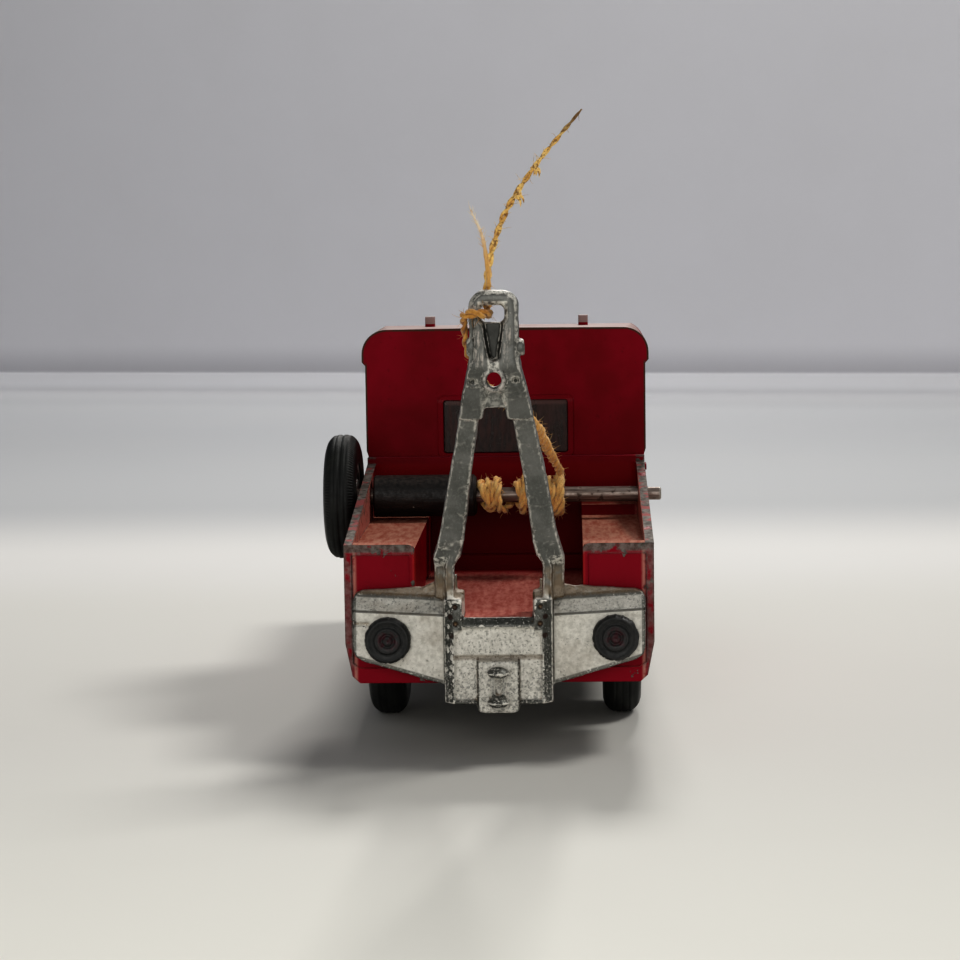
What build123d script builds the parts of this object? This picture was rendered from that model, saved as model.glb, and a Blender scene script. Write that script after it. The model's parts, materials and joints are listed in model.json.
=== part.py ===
from build123d import *
from math import pi, radians, tan
import os

# Toy tow truck, about 1:46: a die-cast pickup with a fixed jib at the tail and a cord winch
# that is turned by the spare wheel. Millimetres. +X is right seen from behind, +Y is forward,
# +Z is up. The origin is on the ground, on the centre plane, under the body's rear face.

os.makedirs("parts", exist_ok=True)

# ---------------------------------------------------------------- driving dimensions
wall = 1.2                    # casting wall
fit_gap = 0.05                # radial clearance of a running fit
seat_gap = 0.05               # gap between two castings that are held together

# body
body_half_width = 18.4
body_bottom_z = 8.4
body_front_y = 94.6
tuck_z = 13.2                 # below this height the sides lean in
tuck_in = 0.8
rim_rear_z = 25.05            # top of the rear corner panels
rim_front_z = 31.3            # top of the side walls at the cab
side_wall = 1.1
bed_front_y = 35.9
cab_rear_y = 37.9
ledge_z = 31.75
floor_z = 17.0
foot_step_y = 33.9
foot_step_z = 18.85
arch_inner_x = 10.0
arch_top_z = 24.45
arch_step_y = 31.4
arch_step_z = 25.8
corner_panel = 1.0            # thickness of the rear corner panels
panel_corner_r = 0.8
tongue_half_width = 4.0
tongue_rear_y = -4.35

# cab and bonnet
cab_half_width = 18.65
roof_half_width = 19.1
gutter_z = 43.9
roof_z = 48.7
roof_corner_r = 3.3
screen_top_y = 56.6
screen_foot_y = 60.2
bonnet_z = 31.4
bonnet_front_z = 30.4
wing_z = 29.0
rear_window_half_width = 8.3
rear_window_z = (32.1, 39.2)
lug_x = 10.5
lug_y = 49.0

# wheels
wheel_r = 8.05
tyre_width = 4.8
half_track = 14.9
rear_axle_y = 23.7
front_axle_y = 82.6
arch_cut_r = 9.5
axle_r = 0.9
hub_r = 4.4
hub_half_width = 1.75
axle_head_gap = 0.3

# winch
rod_y = 28.1
rod_z = 27.6
rod_r = 1.0
rod_right_x = 20.3
rod_end_r = 0.82              # the free end is turned down a little
rod_end_x = 18.55
spare_x = -20.85
spare_width = 4.25
sleeve_r = 2.7
sleeve_x = (-16.9, -3.6)
winding_x = (-3.5, 7.5)

# jib casting
plate_rear_y = -2.6
plate_half_width = 17.3
plate_top_z = 19.9
crease_z = 16.95             # lower edge of the leaning band, where it meets the box
band_rise = 0.055             # the band climbs outward by this much per millimetre
band_height = 2.0
band_top_y = -1.3
box_half_width = 6.35
box_rear_y = -5.6
box_bottom_z = 6.9
lip_z = 17.05
post_inner_x = 4.2
post_top_z = 19.2
box_bevel = 1.1
panel_half_width = 5.1
elbow_z = 24.2
socket_bottom_z = 40.95
head_half_width = 2.75
head_x = 0.3
head_corner_r = 1.9
head_bottom_z = 44.6
head_top_z = 55.55
head_y = (-15.6, -13.0)
head_bevel = 0.6
rib_foot_z = 47.6             # the head's ribs, channel and grooves end here
slot_x = 0.13
slot_half_width = 1.35
slot_z = (51.95, 53.85)
web_hole_x = 0.25
web_hole_z = 45.5
web_hole_r = 0.875
web_front_y = -11.8
web_rim_r = 1.3
dimple_r = 0.4
dimple_x = 2.4                # from the web hole
ear_y = -7.35
ear_r = 1.4
ear_rim_r = 0.85
ear_hole_r = 0.5
ear_z = (6.95, 10.4)
ear_thickness = 1.1
hitch_half_width = 2.4

# fastening of the base plate and the jib casting
tab_half_width = 5.0
tab_z = (11.9, 14.1)
jib_rivet_y = 6.5
rivet_r = 1.1
base_z = (8.7, 9.6)
base_rivet_y = (13.0, 70.0)
base_wheel_x = 11.4
bearer_half_width = 11.0
bumper_y = (95.7, 97.5)
bumper_z = (8.7, 12.2)
bumper_half_width = 17.6

# lamps
tail_lamp_centre = (("left", -13.1, 14.1), ("right", 13.75, 14.25))
tail_lamp_r = 2.8
headlamp_x = 12.9
headlamp_z = 21.6
headlamp_r = 2.7

# doors and grille
door_y = (40.0, 58.2)
door_z = (10.6, 43.3)
door_slant_z = 31.8           # the front shut line leans back above this height
shut_line = 0.3
handle_size = (3.0, 0.8)
grille_width = 15.2
grille_z = (14.0, 28.2)

# cord
cord_d = 0.9


def across(y):
    """Plane across the truck at y, with X to the right and Z up."""
    return Plane.XZ.offset(-y)


def rim_z(y):
    """Height of the side wall's top edge at y."""
    return rim_rear_z + (rim_front_z - rim_rear_z) * y / cab_rear_y


def save(builder, label):
    """Name one finished piece and write its file."""
    builder.part.label = label
    export_step(builder.part, f"parts/{label}.step")


def mid(low, high):
    return (low + high) / 2


# cord route from above the winding, behind the jib, round the head's left post, through the
# slot and up to the free end
cord_route = [
    (7.3, 27.0, 30.7), (6.15, 21.2, 33.4), (5.35, 15.0, 35.9), (4.4, 8.6, 38.55), (2.3, 2.2, 41.0),
    (-0.2, -3.8, 43.3), (-2.1, -8.8, 45.9), (-2.98, -11.9, 48.8), (-3.02, -13.3, 51.2),
    (-3.1, -15.1, 52.6), (-2.75, -16.45, 52.95), (-1.7, -16.75, 53.0), (-0.6, -16.15, 52.9),
    (-0.3, -14.5, 52.85), (-0.35, -12.7, 53.1), (-0.55, -11.9, 54.5), (-0.5, -12.0, 56.6),
    (-0.1, -12.3, 59.2), (0.75, -12.6, 61.9), (1.85, -12.8, 64.5), (3.5, -12.9, 67.0),
    (5.6, -13.0, 69.9), (7.8, -13.1, 72.4), (10.3, -13.2, 75.3),
]


# ---------------------------------------------------------------- body casting
with BuildPart() as body_casting:
    # side outline of bed, cab and bonnet, as wide as the roof
    with BuildSketch(Plane.YZ):
        with BuildLine():
            Polyline(
                (0, body_bottom_z), (0, rim_rear_z), (bed_front_y, rim_z(bed_front_y)),
                (bed_front_y, ledge_z), (cab_rear_y, ledge_z), (cab_rear_y, roof_z + 0.12),
                (screen_top_y, roof_z - 0.35), (screen_foot_y, bonnet_z + 0.6),
                (screen_foot_y + 0.8, bonnet_z), (body_front_y - 1.2, bonnet_front_z),
                (body_front_y, bonnet_front_z - 1.6), (body_front_y, body_bottom_z + 3.2),
                (body_front_y - 2.0, body_bottom_z + 1.0), (front_axle_y, body_bottom_z),
                close=True,
            )
        make_face()
    extrude(amount=roof_half_width, both=True)

    # cross-section: tucked-in skirts, upright sides, gutter and rounded roof
    with BuildSketch(Plane.XZ):
        with BuildLine():
            side = Polyline(
                (0, body_bottom_z), (body_half_width - tuck_in - 0.9, body_bottom_z),
                (body_half_width - tuck_in, body_bottom_z + 0.8), (body_half_width, tuck_z),
                (body_half_width, ledge_z), (cab_half_width, ledge_z + 0.8),
                (cab_half_width, gutter_z), (roof_half_width, gutter_z + 0.5),
                (roof_half_width, roof_z - roof_corner_r),
            )
            shoulder = RadiusArc(side @ 1, (roof_half_width - roof_corner_r, roof_z), -roof_corner_r)
            Polyline(shoulder @ 1, (0, roof_z + 0.12), (0, body_bottom_z))
        make_face()
        mirror(about=Plane.YZ)
    extrude(amount=-(body_front_y + 1), mode=Mode.INTERSECT)

    # bed: deep well between the arches, wide space above them
    with BuildSketch(Plane.XY.offset(arch_top_z)):
        with Locations((0, mid(corner_panel, arch_step_y))):
            Rectangle(2 * (body_half_width - side_wall), arch_step_y - corner_panel)
    extrude(amount=20, mode=Mode.SUBTRACT)
    with BuildSketch(Plane.XY.offset(arch_step_z)):
        with Locations((0, mid(corner_panel, bed_front_y))):
            RectangleRounded(2 * (body_half_width - side_wall), bed_front_y - corner_panel, 0.9)
    extrude(amount=6.5, mode=Mode.SUBTRACT)
    with BuildSketch(Plane.XY.offset(foot_step_z)):
        with Locations((0, mid(-2, bed_front_y))):
            Rectangle(2 * arch_inner_x, bed_front_y + 2)
    extrude(amount=arch_step_z - foot_step_z + 1, mode=Mode.SUBTRACT)
    with BuildSketch(Plane.XY.offset(floor_z)):
        with Locations((0, mid(-2, foot_step_y))):
            Rectangle(2 * arch_inner_x, foot_step_y + 2)
    extrude(amount=foot_step_z - floor_z + 1, mode=Mode.SUBTRACT)
    with BuildSketch(Plane.XY.offset(foot_step_z)):
        with Locations((0, 0)):
            Rectangle(2 * arch_inner_x, 2 * corner_panel)
    extrude(amount=12, mode=Mode.SUBTRACT)

    # rounded inner top corners of the rear corner panels
    for hand in (-1, 1):
        with BuildSketch(across(-0.1)):
            with BuildLine():
                outside = Polyline(
                    (hand * (arch_inner_x + panel_corner_r), rim_rear_z), (hand * (arch_inner_x + 0.8), 27),
                    (hand * (arch_inner_x - 0.2), 27), (hand * (arch_inner_x - 0.2), 24.2),
                    (hand * arch_inner_x, rim_rear_z - panel_corner_r),
                )
                RadiusArc(outside @ 1, outside @ 0, hand * panel_corner_r)
            make_face()
        extrude(amount=-corner_panel - 0.1, mode=Mode.SUBTRACT)

    # seat of the base plate, then the hollows under bed, arches, cab and bonnet
    with BuildSketch(Plane.XY.offset(body_bottom_z - 1)):
        with Locations((0, mid(wall, body_front_y - 3.4))):
            Rectangle(2 * (body_half_width - side_wall - 0.5), body_front_y - 3.4 - wall)
        with Locations((0, body_front_y - 2)):
            Rectangle(18.4, 6)
    extrude(amount=base_z[1] + seat_gap - body_bottom_z + 1, mode=Mode.SUBTRACT)
    with BuildSketch(Plane.XY.offset(body_bottom_z - 1)):
        with Locations((0, mid(wall, cab_rear_y + wall))):
            Rectangle(2 * (body_half_width - side_wall - 0.5), cab_rear_y)
    extrude(amount=floor_z - wall - body_bottom_z + 1, mode=Mode.SUBTRACT)
    for hand in (-1, 1):
        with BuildSketch(Plane.XY.offset(body_bottom_z)):
            arch_low = arch_inner_x + wall
            arch_high = body_half_width - side_wall - 0.1
            with Locations((hand * mid(arch_low, arch_high), mid(wall, arch_step_y - wall))):
                Rectangle(arch_high - arch_low, arch_step_y - 2 * wall)
        extrude(amount=arch_top_z - wall - body_bottom_z, mode=Mode.SUBTRACT)
    with BuildSketch(Plane.YZ):
        with BuildLine():
            Polyline(
                (cab_rear_y + wall, body_bottom_z - 1), (cab_rear_y + wall, roof_z - wall),
                (screen_top_y - wall, roof_z - wall), (screen_foot_y - wall - 0.2, bonnet_z),
                (screen_foot_y - wall - 0.2, body_bottom_z - 1),
                close=True,
            )
        make_face()
    extrude(amount=body_half_width - side_wall, both=True, mode=Mode.SUBTRACT)
    with BuildSketch(Plane.YZ):
        with BuildLine():
            Polyline(
                (screen_foot_y + 0.3, body_bottom_z - 1), (screen_foot_y + 0.3, wing_z - wall - 0.4),
                (body_front_y - 3.4, wing_z - wall - 0.4), (body_front_y - 3.4, body_bottom_z - 1),
                close=True,
            )
        make_face()
    extrude(amount=body_half_width - side_wall, both=True, mode=Mode.SUBTRACT)

    # front wings stand lower than the bonnet
    for hand in (-1, 1):
        with BuildSketch(across(screen_foot_y + 1.6)):
            with BuildLine():
                Polyline(
                    (hand * 11.2, roof_z), (hand * 11.2, wing_z + 0.9), (hand * 11.9, wing_z),
                    (hand * 17.2, wing_z - 0.2), (hand * 18.6, wing_z - 1.4), (hand * 20.5, roof_z),
                    close=True,
                )
            make_face()
        extrude(amount=-body_front_y, mode=Mode.SUBTRACT)

    # grille opening between the wings, lamp recesses in the wings
    with BuildSketch(across(body_front_y + 0.1)):
        with Locations((0, mid(*grille_z))):
            RectangleRounded(grille_width, grille_z[1] - grille_z[0], 1.2)
    extrude(amount=1.7, mode=Mode.SUBTRACT)
    with BuildSketch(across(body_front_y + 0.1)):
        with Locations((-headlamp_x, headlamp_z), (headlamp_x, headlamp_z)):
            Circle(headlamp_r)
    extrude(amount=1.3, mode=Mode.SUBTRACT)

    # wheel arches
    for arch_y in (rear_axle_y, front_axle_y):
        with BuildSketch(Plane.YZ):
            with Locations((arch_y, wheel_r)):
                Circle(arch_cut_r)
        extrude(amount=roof_half_width + 1, both=True, mode=Mode.SUBTRACT)

    # the floor and the arches' inner walls stay whole above the rear wheels
    with BuildSketch(Plane.XY.offset(floor_z - wall)):
        with Locations((0, mid(0, bed_front_y))):
            Rectangle(2 * (arch_inner_x + wall), bed_front_y)
    extrude(amount=wall)

    # windows: rear pane, two door windows, divided windscreen
    window_low, window_high = rear_window_z
    with BuildSketch(across(cab_rear_y - 1)):
        with Locations((0, mid(window_low, window_high))):
            RectangleRounded(2 * rear_window_half_width, window_high - window_low, 0.4)
    extrude(amount=-(wall + 1.5), mode=Mode.SUBTRACT)
    with BuildSketch(Plane.YZ):
        with BuildLine():
            Polyline(
                (41.2, 34.0), (41.2, 42.6), (54.8, 42.6), (56.6, 34.0),
                close=True,
            )
        make_face()
        fillet(vertices(), radius=0.7)
    extrude(amount=roof_half_width + 1, both=True, mode=Mode.SUBTRACT)
    with BuildSketch(across(screen_top_y - 4)):
        with Locations((-8.3, 38.6), (8.3, 38.6)):
            RectangleRounded(14.6, 8.2, 0.7)
    extrude(amount=-10, mode=Mode.SUBTRACT)

    # raised surround of the rear window, and roof lugs
    with BuildSketch(across(cab_rear_y)):
        with Locations((0, mid(window_low, window_high))):
            RectangleRounded(2 * rear_window_half_width + 1.5, window_high - window_low + 1.2, 0.8)
            RectangleRounded(2 * rear_window_half_width, window_high - window_low, 0.4,
                             mode=Mode.SUBTRACT)
    extrude(amount=0.2)
    with BuildSketch(Plane.XY.offset(roof_z - 0.4)):
        with Locations((-lug_x, lug_y), (lug_x, lug_y)):
            RectangleRounded(1.3, 2.6, 0.45)
    extrude(amount=1.6)

    # rear corner panels: recessed field behind the rim
    for hand in (-1, 1):
        with BuildSketch(across(-0.1)):
            with BuildLine():
                Polyline(
                    (hand * 10.6, 10.2), (hand * 10.6, 23.8), (hand * 17.5, 23.8),
                    (hand * 17.5, 10.8), (hand * 16.6, 10.2),
                    close=True,
                )
            make_face()
        extrude(amount=-0.4, mode=Mode.SUBTRACT)

    # shut lines and handles of the doors
    for hand in (-1, 1):
        with BuildSketch(Plane.YZ.offset(hand * (body_half_width - 0.2))):
            for inset, mode in ((0, Mode.ADD), (shut_line, Mode.SUBTRACT)):
                with BuildLine():
                    Polyline(
                        (door_y[0] + inset, door_z[0] + inset), (door_y[0] + inset, door_z[1] - inset),
                        (door_y[1] - 2.8 - inset, door_z[1] - inset), (door_y[1] - inset, door_slant_z),
                        (door_y[1] - inset, door_z[0] + inset),
                        close=True,
                    )
                make_face(mode=mode)
        extrude(amount=hand * 2, mode=Mode.SUBTRACT)
        with BuildSketch(Plane.YZ.offset(hand * (body_half_width - 0.3))):
            with Locations((43.2, 29.6)):
                RectangleRounded(*handle_size, 0.35)
        extrude(amount=hand * 0.75)

    # bearings of the winch rod in the side walls
    with BuildSketch(Plane.YZ):
        with Locations((rod_y, rod_z)):
            Circle(rod_r + fit_gap)
    extrude(amount=roof_half_width + 1, both=True, mode=Mode.SUBTRACT)

    # tail: floor tongue and the slot under it for the jib casting
    with BuildSketch(Plane.XY.offset(floor_z - wall)):
        with Locations((0, mid(tongue_rear_y, 2))):
            Rectangle(2 * tongue_half_width, 2 - tongue_rear_y)
    extrude(amount=wall)
    with BuildSketch(across(-1)):
        with Locations((0, mid(*tab_z))):
            Rectangle(2 * (tab_half_width + seat_gap), tab_z[1] - tab_z[0] + 2 * seat_gap)
    extrude(amount=-3, mode=Mode.SUBTRACT)

    # rivet bosses under the floor and under the bonnet
    with BuildSketch(Plane.XY.offset(tab_z[1])):
        with Locations((0, jib_rivet_y)):
            Circle(2.6)
    extrude(amount=floor_z - wall - tab_z[1])
    with BuildSketch(Plane.XY.offset(tab_z[1])):
        with Locations((0, jib_rivet_y)):
            Circle(rivet_r)
    extrude(amount=2.0, mode=Mode.SUBTRACT)
    for boss_y, boss_top in ((base_rivet_y[0], floor_z - wall), (base_rivet_y[1], wing_z - wall)):
        with BuildSketch(Plane.XY.offset(base_z[1] + seat_gap)):
            with Locations((0, boss_y)):
                Circle(2.4)
        extrude(amount=boss_top - base_z[1] - seat_gap)
        with BuildSketch(Plane.XY.offset(base_z[1] - 0.5)):
            with Locations((0, boss_y)):
                Circle(rivet_r)
        extrude(amount=3.5, mode=Mode.SUBTRACT)
save(body_casting, "body_casting")

# ---------------------------------------------------------------- base plate
with BuildPart() as base_plate:
    with BuildSketch(Plane.XY.offset(base_z[0])):
        with Locations((0, mid(2.0, body_front_y - 3.6))):
            RectangleRounded(2 * 16.6, body_front_y - 5.6, 1.0)
        with Locations((0, mid(body_front_y - 6, bumper_y[0] + 0.5))):
            Rectangle(18, bumper_y[0] - body_front_y + 6.5)
        for axle_y in (rear_axle_y, front_axle_y):
            for hand in (-1, 1):
                with Locations((hand * (base_wheel_x + 5), axle_y)):
                    Rectangle(10, 2 * (wheel_r + 1.1), mode=Mode.SUBTRACT)
    extrude(amount=base_z[1] - base_z[0])
    # axle bearers
    for axle_y in (rear_axle_y, front_axle_y):
        with BuildSketch(Plane.YZ):
            with BuildLine():
                Polyline(
                    (axle_y - 3.0, base_z[1]), (axle_y - 1.9, wheel_r - 1.9),
                    (axle_y + 1.9, wheel_r - 1.9), (axle_y + 3.0, base_z[1]),
                    (axle_y + 1.9, wheel_r + 2.4), (axle_y - 1.9, wheel_r + 2.4),
                    close=True,
                )
            make_face()
        extrude(amount=bearer_half_width, both=True)
        with BuildSketch(Plane.YZ):
            with Locations((axle_y, wheel_r)):
                Circle(axle_r)
        extrude(amount=bearer_half_width + 1, both=True, mode=Mode.SUBTRACT)
    # raised centre rib and cross ribs, pressed into the sheet
    with BuildSketch(Plane.XY.offset(base_z[0])):
        with Locations((0, mid(rear_axle_y, front_axle_y))):
            SlotOverall(26, 5.0, rotation=90)
        with Locations((-9.5, mid(rear_axle_y, front_axle_y)), (9.5, mid(rear_axle_y, front_axle_y))):
            SlotOverall(20, 2.4, rotation=90)
    extrude(amount=-0.5)
    # front bumper, one piece with the plate
    with BuildSketch(Plane.XY.offset(bumper_z[0])):
        with BuildLine():
            Polyline(
                (-bumper_half_width, bumper_y[0] - 0.9), (-bumper_half_width + 1.6, bumper_y[1]),
                (bumper_half_width - 1.6, bumper_y[1]), (bumper_half_width, bumper_y[0] - 0.9),
                (bumper_half_width - 1.4, bumper_y[0] - 0.9), (bumper_half_width - 2.4, bumper_y[0]),
                (-bumper_half_width + 2.4, bumper_y[0]), (-bumper_half_width + 1.4, bumper_y[0] - 0.9),
                close=True,
            )
        make_face()
    extrude(amount=bumper_z[1] - bumper_z[0])
    for rivet_y in base_rivet_y:
        with BuildSketch(Plane.XY.offset(base_z[0] - 1)):
            with Locations((0, rivet_y)):
                Circle(rivet_r)
        extrude(amount=3, mode=Mode.SUBTRACT)
save(base_plate, "base_plate")

with BuildPart() as base_rivets:
    for rivet_y in base_rivet_y:
        with BuildSketch(Plane.XY.offset(base_z[0])):
            with Locations((0, rivet_y)):
                Circle(rivet_r)
        extrude(amount=3.2)
        with BuildSketch(Plane.XY.offset(base_z[0] - 1.0)):
            with Locations((0, rivet_y)):
                Circle(1.7)
        extrude(amount=1.0)
    chamfer(base_rivets.edges().group_by(Axis.Z)[0], length=0.4)
save(base_rivets, "base_rivets")

# ---------------------------------------------------------------- axles and road wheels
def make_axle(label, axle_y):
    """Plain axle with a riveted-over head at each end."""
    head_x = half_track + hub_half_width + axle_head_gap
    with BuildPart() as axle:
        with BuildSketch(Plane.YZ):
            with Locations((axle_y, wheel_r)):
                Circle(axle_r)
        extrude(amount=head_x + 0.3, both=True)
        for hand in (-1, 1):
            with BuildSketch(Plane.YZ.offset(hand * head_x)):
                with Locations((axle_y, wheel_r)):
                    Circle(1.5)
            extrude(amount=hand * 0.7)
        ends = axle.faces().sort_by(Axis.X)
        fillet(ends[0].edges() + ends[-1].edges(), radius=0.35)
    save(axle, label)


def wheel_plane(x, axle_y, axle_z, outward):
    """Plane whose X runs outwards along a wheel's axis, with the radius along Y."""
    return Plane(origin=(x, axle_y, axle_z), x_dir=(outward, 0, 0), z_dir=(0, -1, 0))


def make_hub(label, plane, bore_r, half_width):
    """Turned hub: flat rim, dished web, domed boss, plain bore."""
    with BuildPart() as hub:
        with BuildSketch(plane):
            with BuildLine():
                Polyline(
                    (-half_width, bore_r), (-half_width, 2.2), (-0.9, 2.5), (-0.9, 3.4),
                    (-half_width, 3.7), (-half_width, hub_r), (half_width, hub_r),
                    (half_width, 3.75), (0.75, 3.3), (0.45, 2.4), (half_width - 0.35, 2.0),
                    (half_width, 1.5), (half_width, bore_r),
                    close=True,
                )
            make_face()
        revolve(axis=Axis(plane.origin, plane.x_dir))
    save(hub, label)


def make_tyre(label, plane, width):
    """Solid rubber tyre with rounded shoulders and a thin band of ribs on each side wall."""
    half = width / 2
    with BuildPart() as tyre:
        with BuildSketch(plane):
            with BuildLine():
                Polyline(
                    (-half + 0.75, hub_r), (-half + 0.2, hub_r + 0.75), (-half, wheel_r - 2.1),
                )
                ThreePointArc((-half, wheel_r - 2.1), (-half + 0.55, wheel_r - 0.55),
                              (-half + 1.9, wheel_r))
                Line((-half + 1.9, wheel_r), (half - 1.9, wheel_r))
                ThreePointArc((half - 1.9, wheel_r), (half - 0.55, wheel_r - 0.55),
                              (half, wheel_r - 2.1))
                Polyline(
                    (half, wheel_r - 2.1), (half - 0.2, hub_r + 0.75), (half - 0.75, hub_r),
                    (-half + 0.75, hub_r),
                )
            make_face()
        revolve(axis=Axis(plane.origin, plane.x_dir))
    save(tyre, label)


make_axle("rear_axle", rear_axle_y)
make_axle("front_axle", front_axle_y)
for end, axle_y in (("rear", rear_axle_y), ("front", front_axle_y)):
    for side_name, hand in (("left", -1), ("right", 1)):
        road_plane = wheel_plane(hand * half_track, axle_y, wheel_r, hand)
        make_hub(f"{end}_{side_name}_hub", road_plane, axle_r + fit_gap, hub_half_width)
        make_tyre(f"{end}_{side_name}_tyre", road_plane, tyre_width)

# ---------------------------------------------------------------- winch
spare_plane = wheel_plane(spare_x, rod_y, rod_z, -1)
make_hub("spare_hub", spare_plane, rod_r, hub_half_width)
make_tyre("spare_tyre", spare_plane, spare_width)

with BuildPart() as winch_rod:
    rod_left_x = spare_x - hub_half_width - 0.5
    with BuildSketch(Plane.YZ.offset(rod_left_x)):
        with Locations((rod_y, rod_z)):
            Circle(rod_r)
    extrude(amount=rod_end_x - rod_left_x)
    with BuildSketch(Plane.YZ.offset(rod_end_x)):
        with Locations((rod_y, rod_z)):
            Circle(rod_end_r)
    extrude(amount=rod_right_x - rod_end_x)
    chamfer(winch_rod.edges().sort_by(Axis.X)[-1], length=0.15)
    fillet(winch_rod.edges().sort_by(Axis.X)[0], radius=0.4)
save(winch_rod, "winch_rod")

winch_plane = Plane(origin=(0, rod_y, rod_z), x_dir=(1, 0, 0), z_dir=(0, -1, 0))
winch_axis = Axis((0, rod_y, rod_z), (1, 0, 0))
with BuildPart() as winch_sleeve:
    with BuildSketch(winch_plane):
        with BuildLine():
            Polyline(
                (sleeve_x[0], rod_r), (sleeve_x[0], sleeve_r - 0.2), (sleeve_x[0] + 0.2, sleeve_r),
                (sleeve_x[1] - 0.35, sleeve_r), (sleeve_x[1], sleeve_r - 0.35), (sleeve_x[1], rod_r),
                close=True,
            )
        make_face()
    revolve(axis=winch_axis)
save(winch_sleeve, "winch_sleeve")

with BuildPart() as cord_winding:
    with BuildSketch(winch_plane):
        with BuildLine():
            Line((winding_x[0] + 0.1, rod_r), (winding_x[0] + 0.1, rod_r + 0.8))
            Spline(
                (winding_x[0] + 0.1, rod_r + 0.8), (-1.6, 2.15), (0.4, 1.95), (1.9, 2.15),
                (4.0, 2.5), (6.4, 2.45), (winding_x[1], rod_r + 0.8),
            )
            Polyline((winding_x[1], rod_r + 0.8), (winding_x[1], rod_r), (winding_x[0] + 0.1, rod_r))
        make_face()
    revolve(axis=winch_axis)
save(cord_winding, "cord_winding")

# ---------------------------------------------------------------- jib casting
with BuildPart() as jib_casting:
    # two wings with a slanted lower edge
    for hand in (-1, 1):
        with BuildSketch(Plane.XZ.offset(seat_gap)):
            with BuildLine():
                Polyline(
                    (0, 19.2), (hand * 5.5, 19.8), (hand * 9.6, 20.1),
                    (hand * (plate_half_width - 1.1), plate_top_z - 0.15),
                    (hand * (plate_half_width - 0.35), plate_top_z - 0.45),
                    (hand * plate_half_width, plate_top_z - 1.1),
                    (hand * plate_half_width, 13.1), (hand * (plate_half_width - 0.3), 12.1),
                    (hand * (plate_half_width - 1.2), 11.5), (hand * 6.3, 8.6), (0, 8.6),
                    close=True,
                )
            make_face()
        extrude(amount=-plate_rear_y - seat_gap)
    # upper band of the wings leans forward and climbs outward, with a steeper slope above it
    for hand in (-1, 1):
        band_plane = Plane(origin=(hand * box_half_width, 0, crease_z), x_dir=(0, 1, 0),
                           z_dir=(1, 0, hand * band_rise))
        with BuildSketch(band_plane):
            with BuildLine():
                Polyline(
                    (plate_rear_y - 0.1, 0), (plate_rear_y, 0), (band_top_y, band_height),
                    (-0.45, band_height + 1.4), (-0.45, band_height + 4),
                    (plate_rear_y - 0.1, band_height + 4),
                    close=True,
                )
            make_face()
        extrude(amount=hand * (plate_half_width - box_half_width + 1), mode=Mode.SUBTRACT)
    # shoulders that rise from the wings to the legs, higher on the left
    for hand, shoulder_z in ((-1, 21.2), (1, 20.6)):
        with BuildSketch(Plane.XZ.offset(seat_gap)):
            with BuildLine():
                Polyline(
                    (hand * 4.9, 18.6), (hand * 4.9, shoulder_z + 0.4), (hand * 6.4, shoulder_z),
                    (hand * 7.6, mid(shoulder_z, 20.2)), (hand * 9.0, 20.1), (hand * 9.0, 18.6),
                    close=True,
                )
            make_face()
        extrude(amount=1.0)
    # centre box, its posts and the open mouth between them
    with BuildSketch(Plane.XZ.offset(seat_gap)):
        with BuildLine():
            Polyline(
                (-box_half_width, box_bottom_z), (-2.6, box_bottom_z), (-2.4, box_bottom_z - 0.7),
                (2.4, box_bottom_z - 0.7), (2.6, box_bottom_z), (box_half_width, box_bottom_z),
                (box_half_width, post_top_z), (post_inner_x, post_top_z), (post_inner_x, lip_z),
                (-post_inner_x, lip_z), (-post_inner_x, post_top_z), (-box_half_width, post_top_z),
                close=True,
            )
        make_face()
    extrude(amount=-box_rear_y - seat_gap)
    chamfer(
        jib_casting.edges().filter_by(Axis.Z).group_by(Axis.Y)[0].filter_by_position(
            Axis.Z, 10, 18).sort_by(Axis.X)[0:1]
        + jib_casting.edges().filter_by(Axis.Z).group_by(Axis.Y)[0].filter_by_position(
            Axis.Z, 10, 18).sort_by(Axis.X)[-1:],
        length=box_bevel,
    )
    # pocket for the body's floor tongue
    with BuildSketch(Plane.XY.offset(floor_z - wall - seat_gap)):
        with Locations((0, mid(tongue_rear_y - seat_gap, 1))):
            Rectangle(2 * (tongue_half_width + seat_gap), 1 - tongue_rear_y + seat_gap)
    extrude(amount=5, mode=Mode.SUBTRACT)
    # leaning band along the lip, and bevels at its ends
    with BuildSketch(Plane.YZ):
        with BuildLine():
            Polyline(
                (box_rear_y - 0.1, lip_z - 0.95), (box_rear_y - 0.1, lip_z + 0.1),
                (box_rear_y + 0.75, lip_z + 0.1), close=True,
            )
        make_face()
    extrude(amount=post_inner_x, both=True, mode=Mode.SUBTRACT)
    # sunk panel between the box's edges, groove across it
    with BuildSketch(Plane.XZ.offset(-box_rear_y + 0.1)):
        with BuildLine():
            Polyline(
                (-panel_half_width, 12.6), (-panel_half_width, 14.9), (-4.2, 15.95), (4.2, 15.95),
                (panel_half_width, 14.9), (panel_half_width, 12.6),
                close=True,
            )
        make_face()
        with Locations((0, 9.75)):
            Rectangle(2 * panel_half_width, 4.9)
    extrude(amount=-0.45, mode=Mode.SUBTRACT)
    with BuildSketch(Plane.XZ.offset(-box_rear_y + 0.1)):
        with Locations((0, 12.4)):
            Rectangle(2 * panel_half_width, 0.4)
    extrude(amount=-0.65, mode=Mode.SUBTRACT)
    # rivet dimples on the posts
    with BuildSketch(Plane.XZ.offset(-box_rear_y + 0.1)):
        for hand in (-1, 1):
            with Locations((hand * 5.0, 18.4), (hand * 5.55, 17.2), (hand * 4.95, 16.4),
                           (hand * 5.5, 15.0)):
                Circle(0.34)
    extrude(amount=-0.4, mode=Mode.SUBTRACT)
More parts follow.
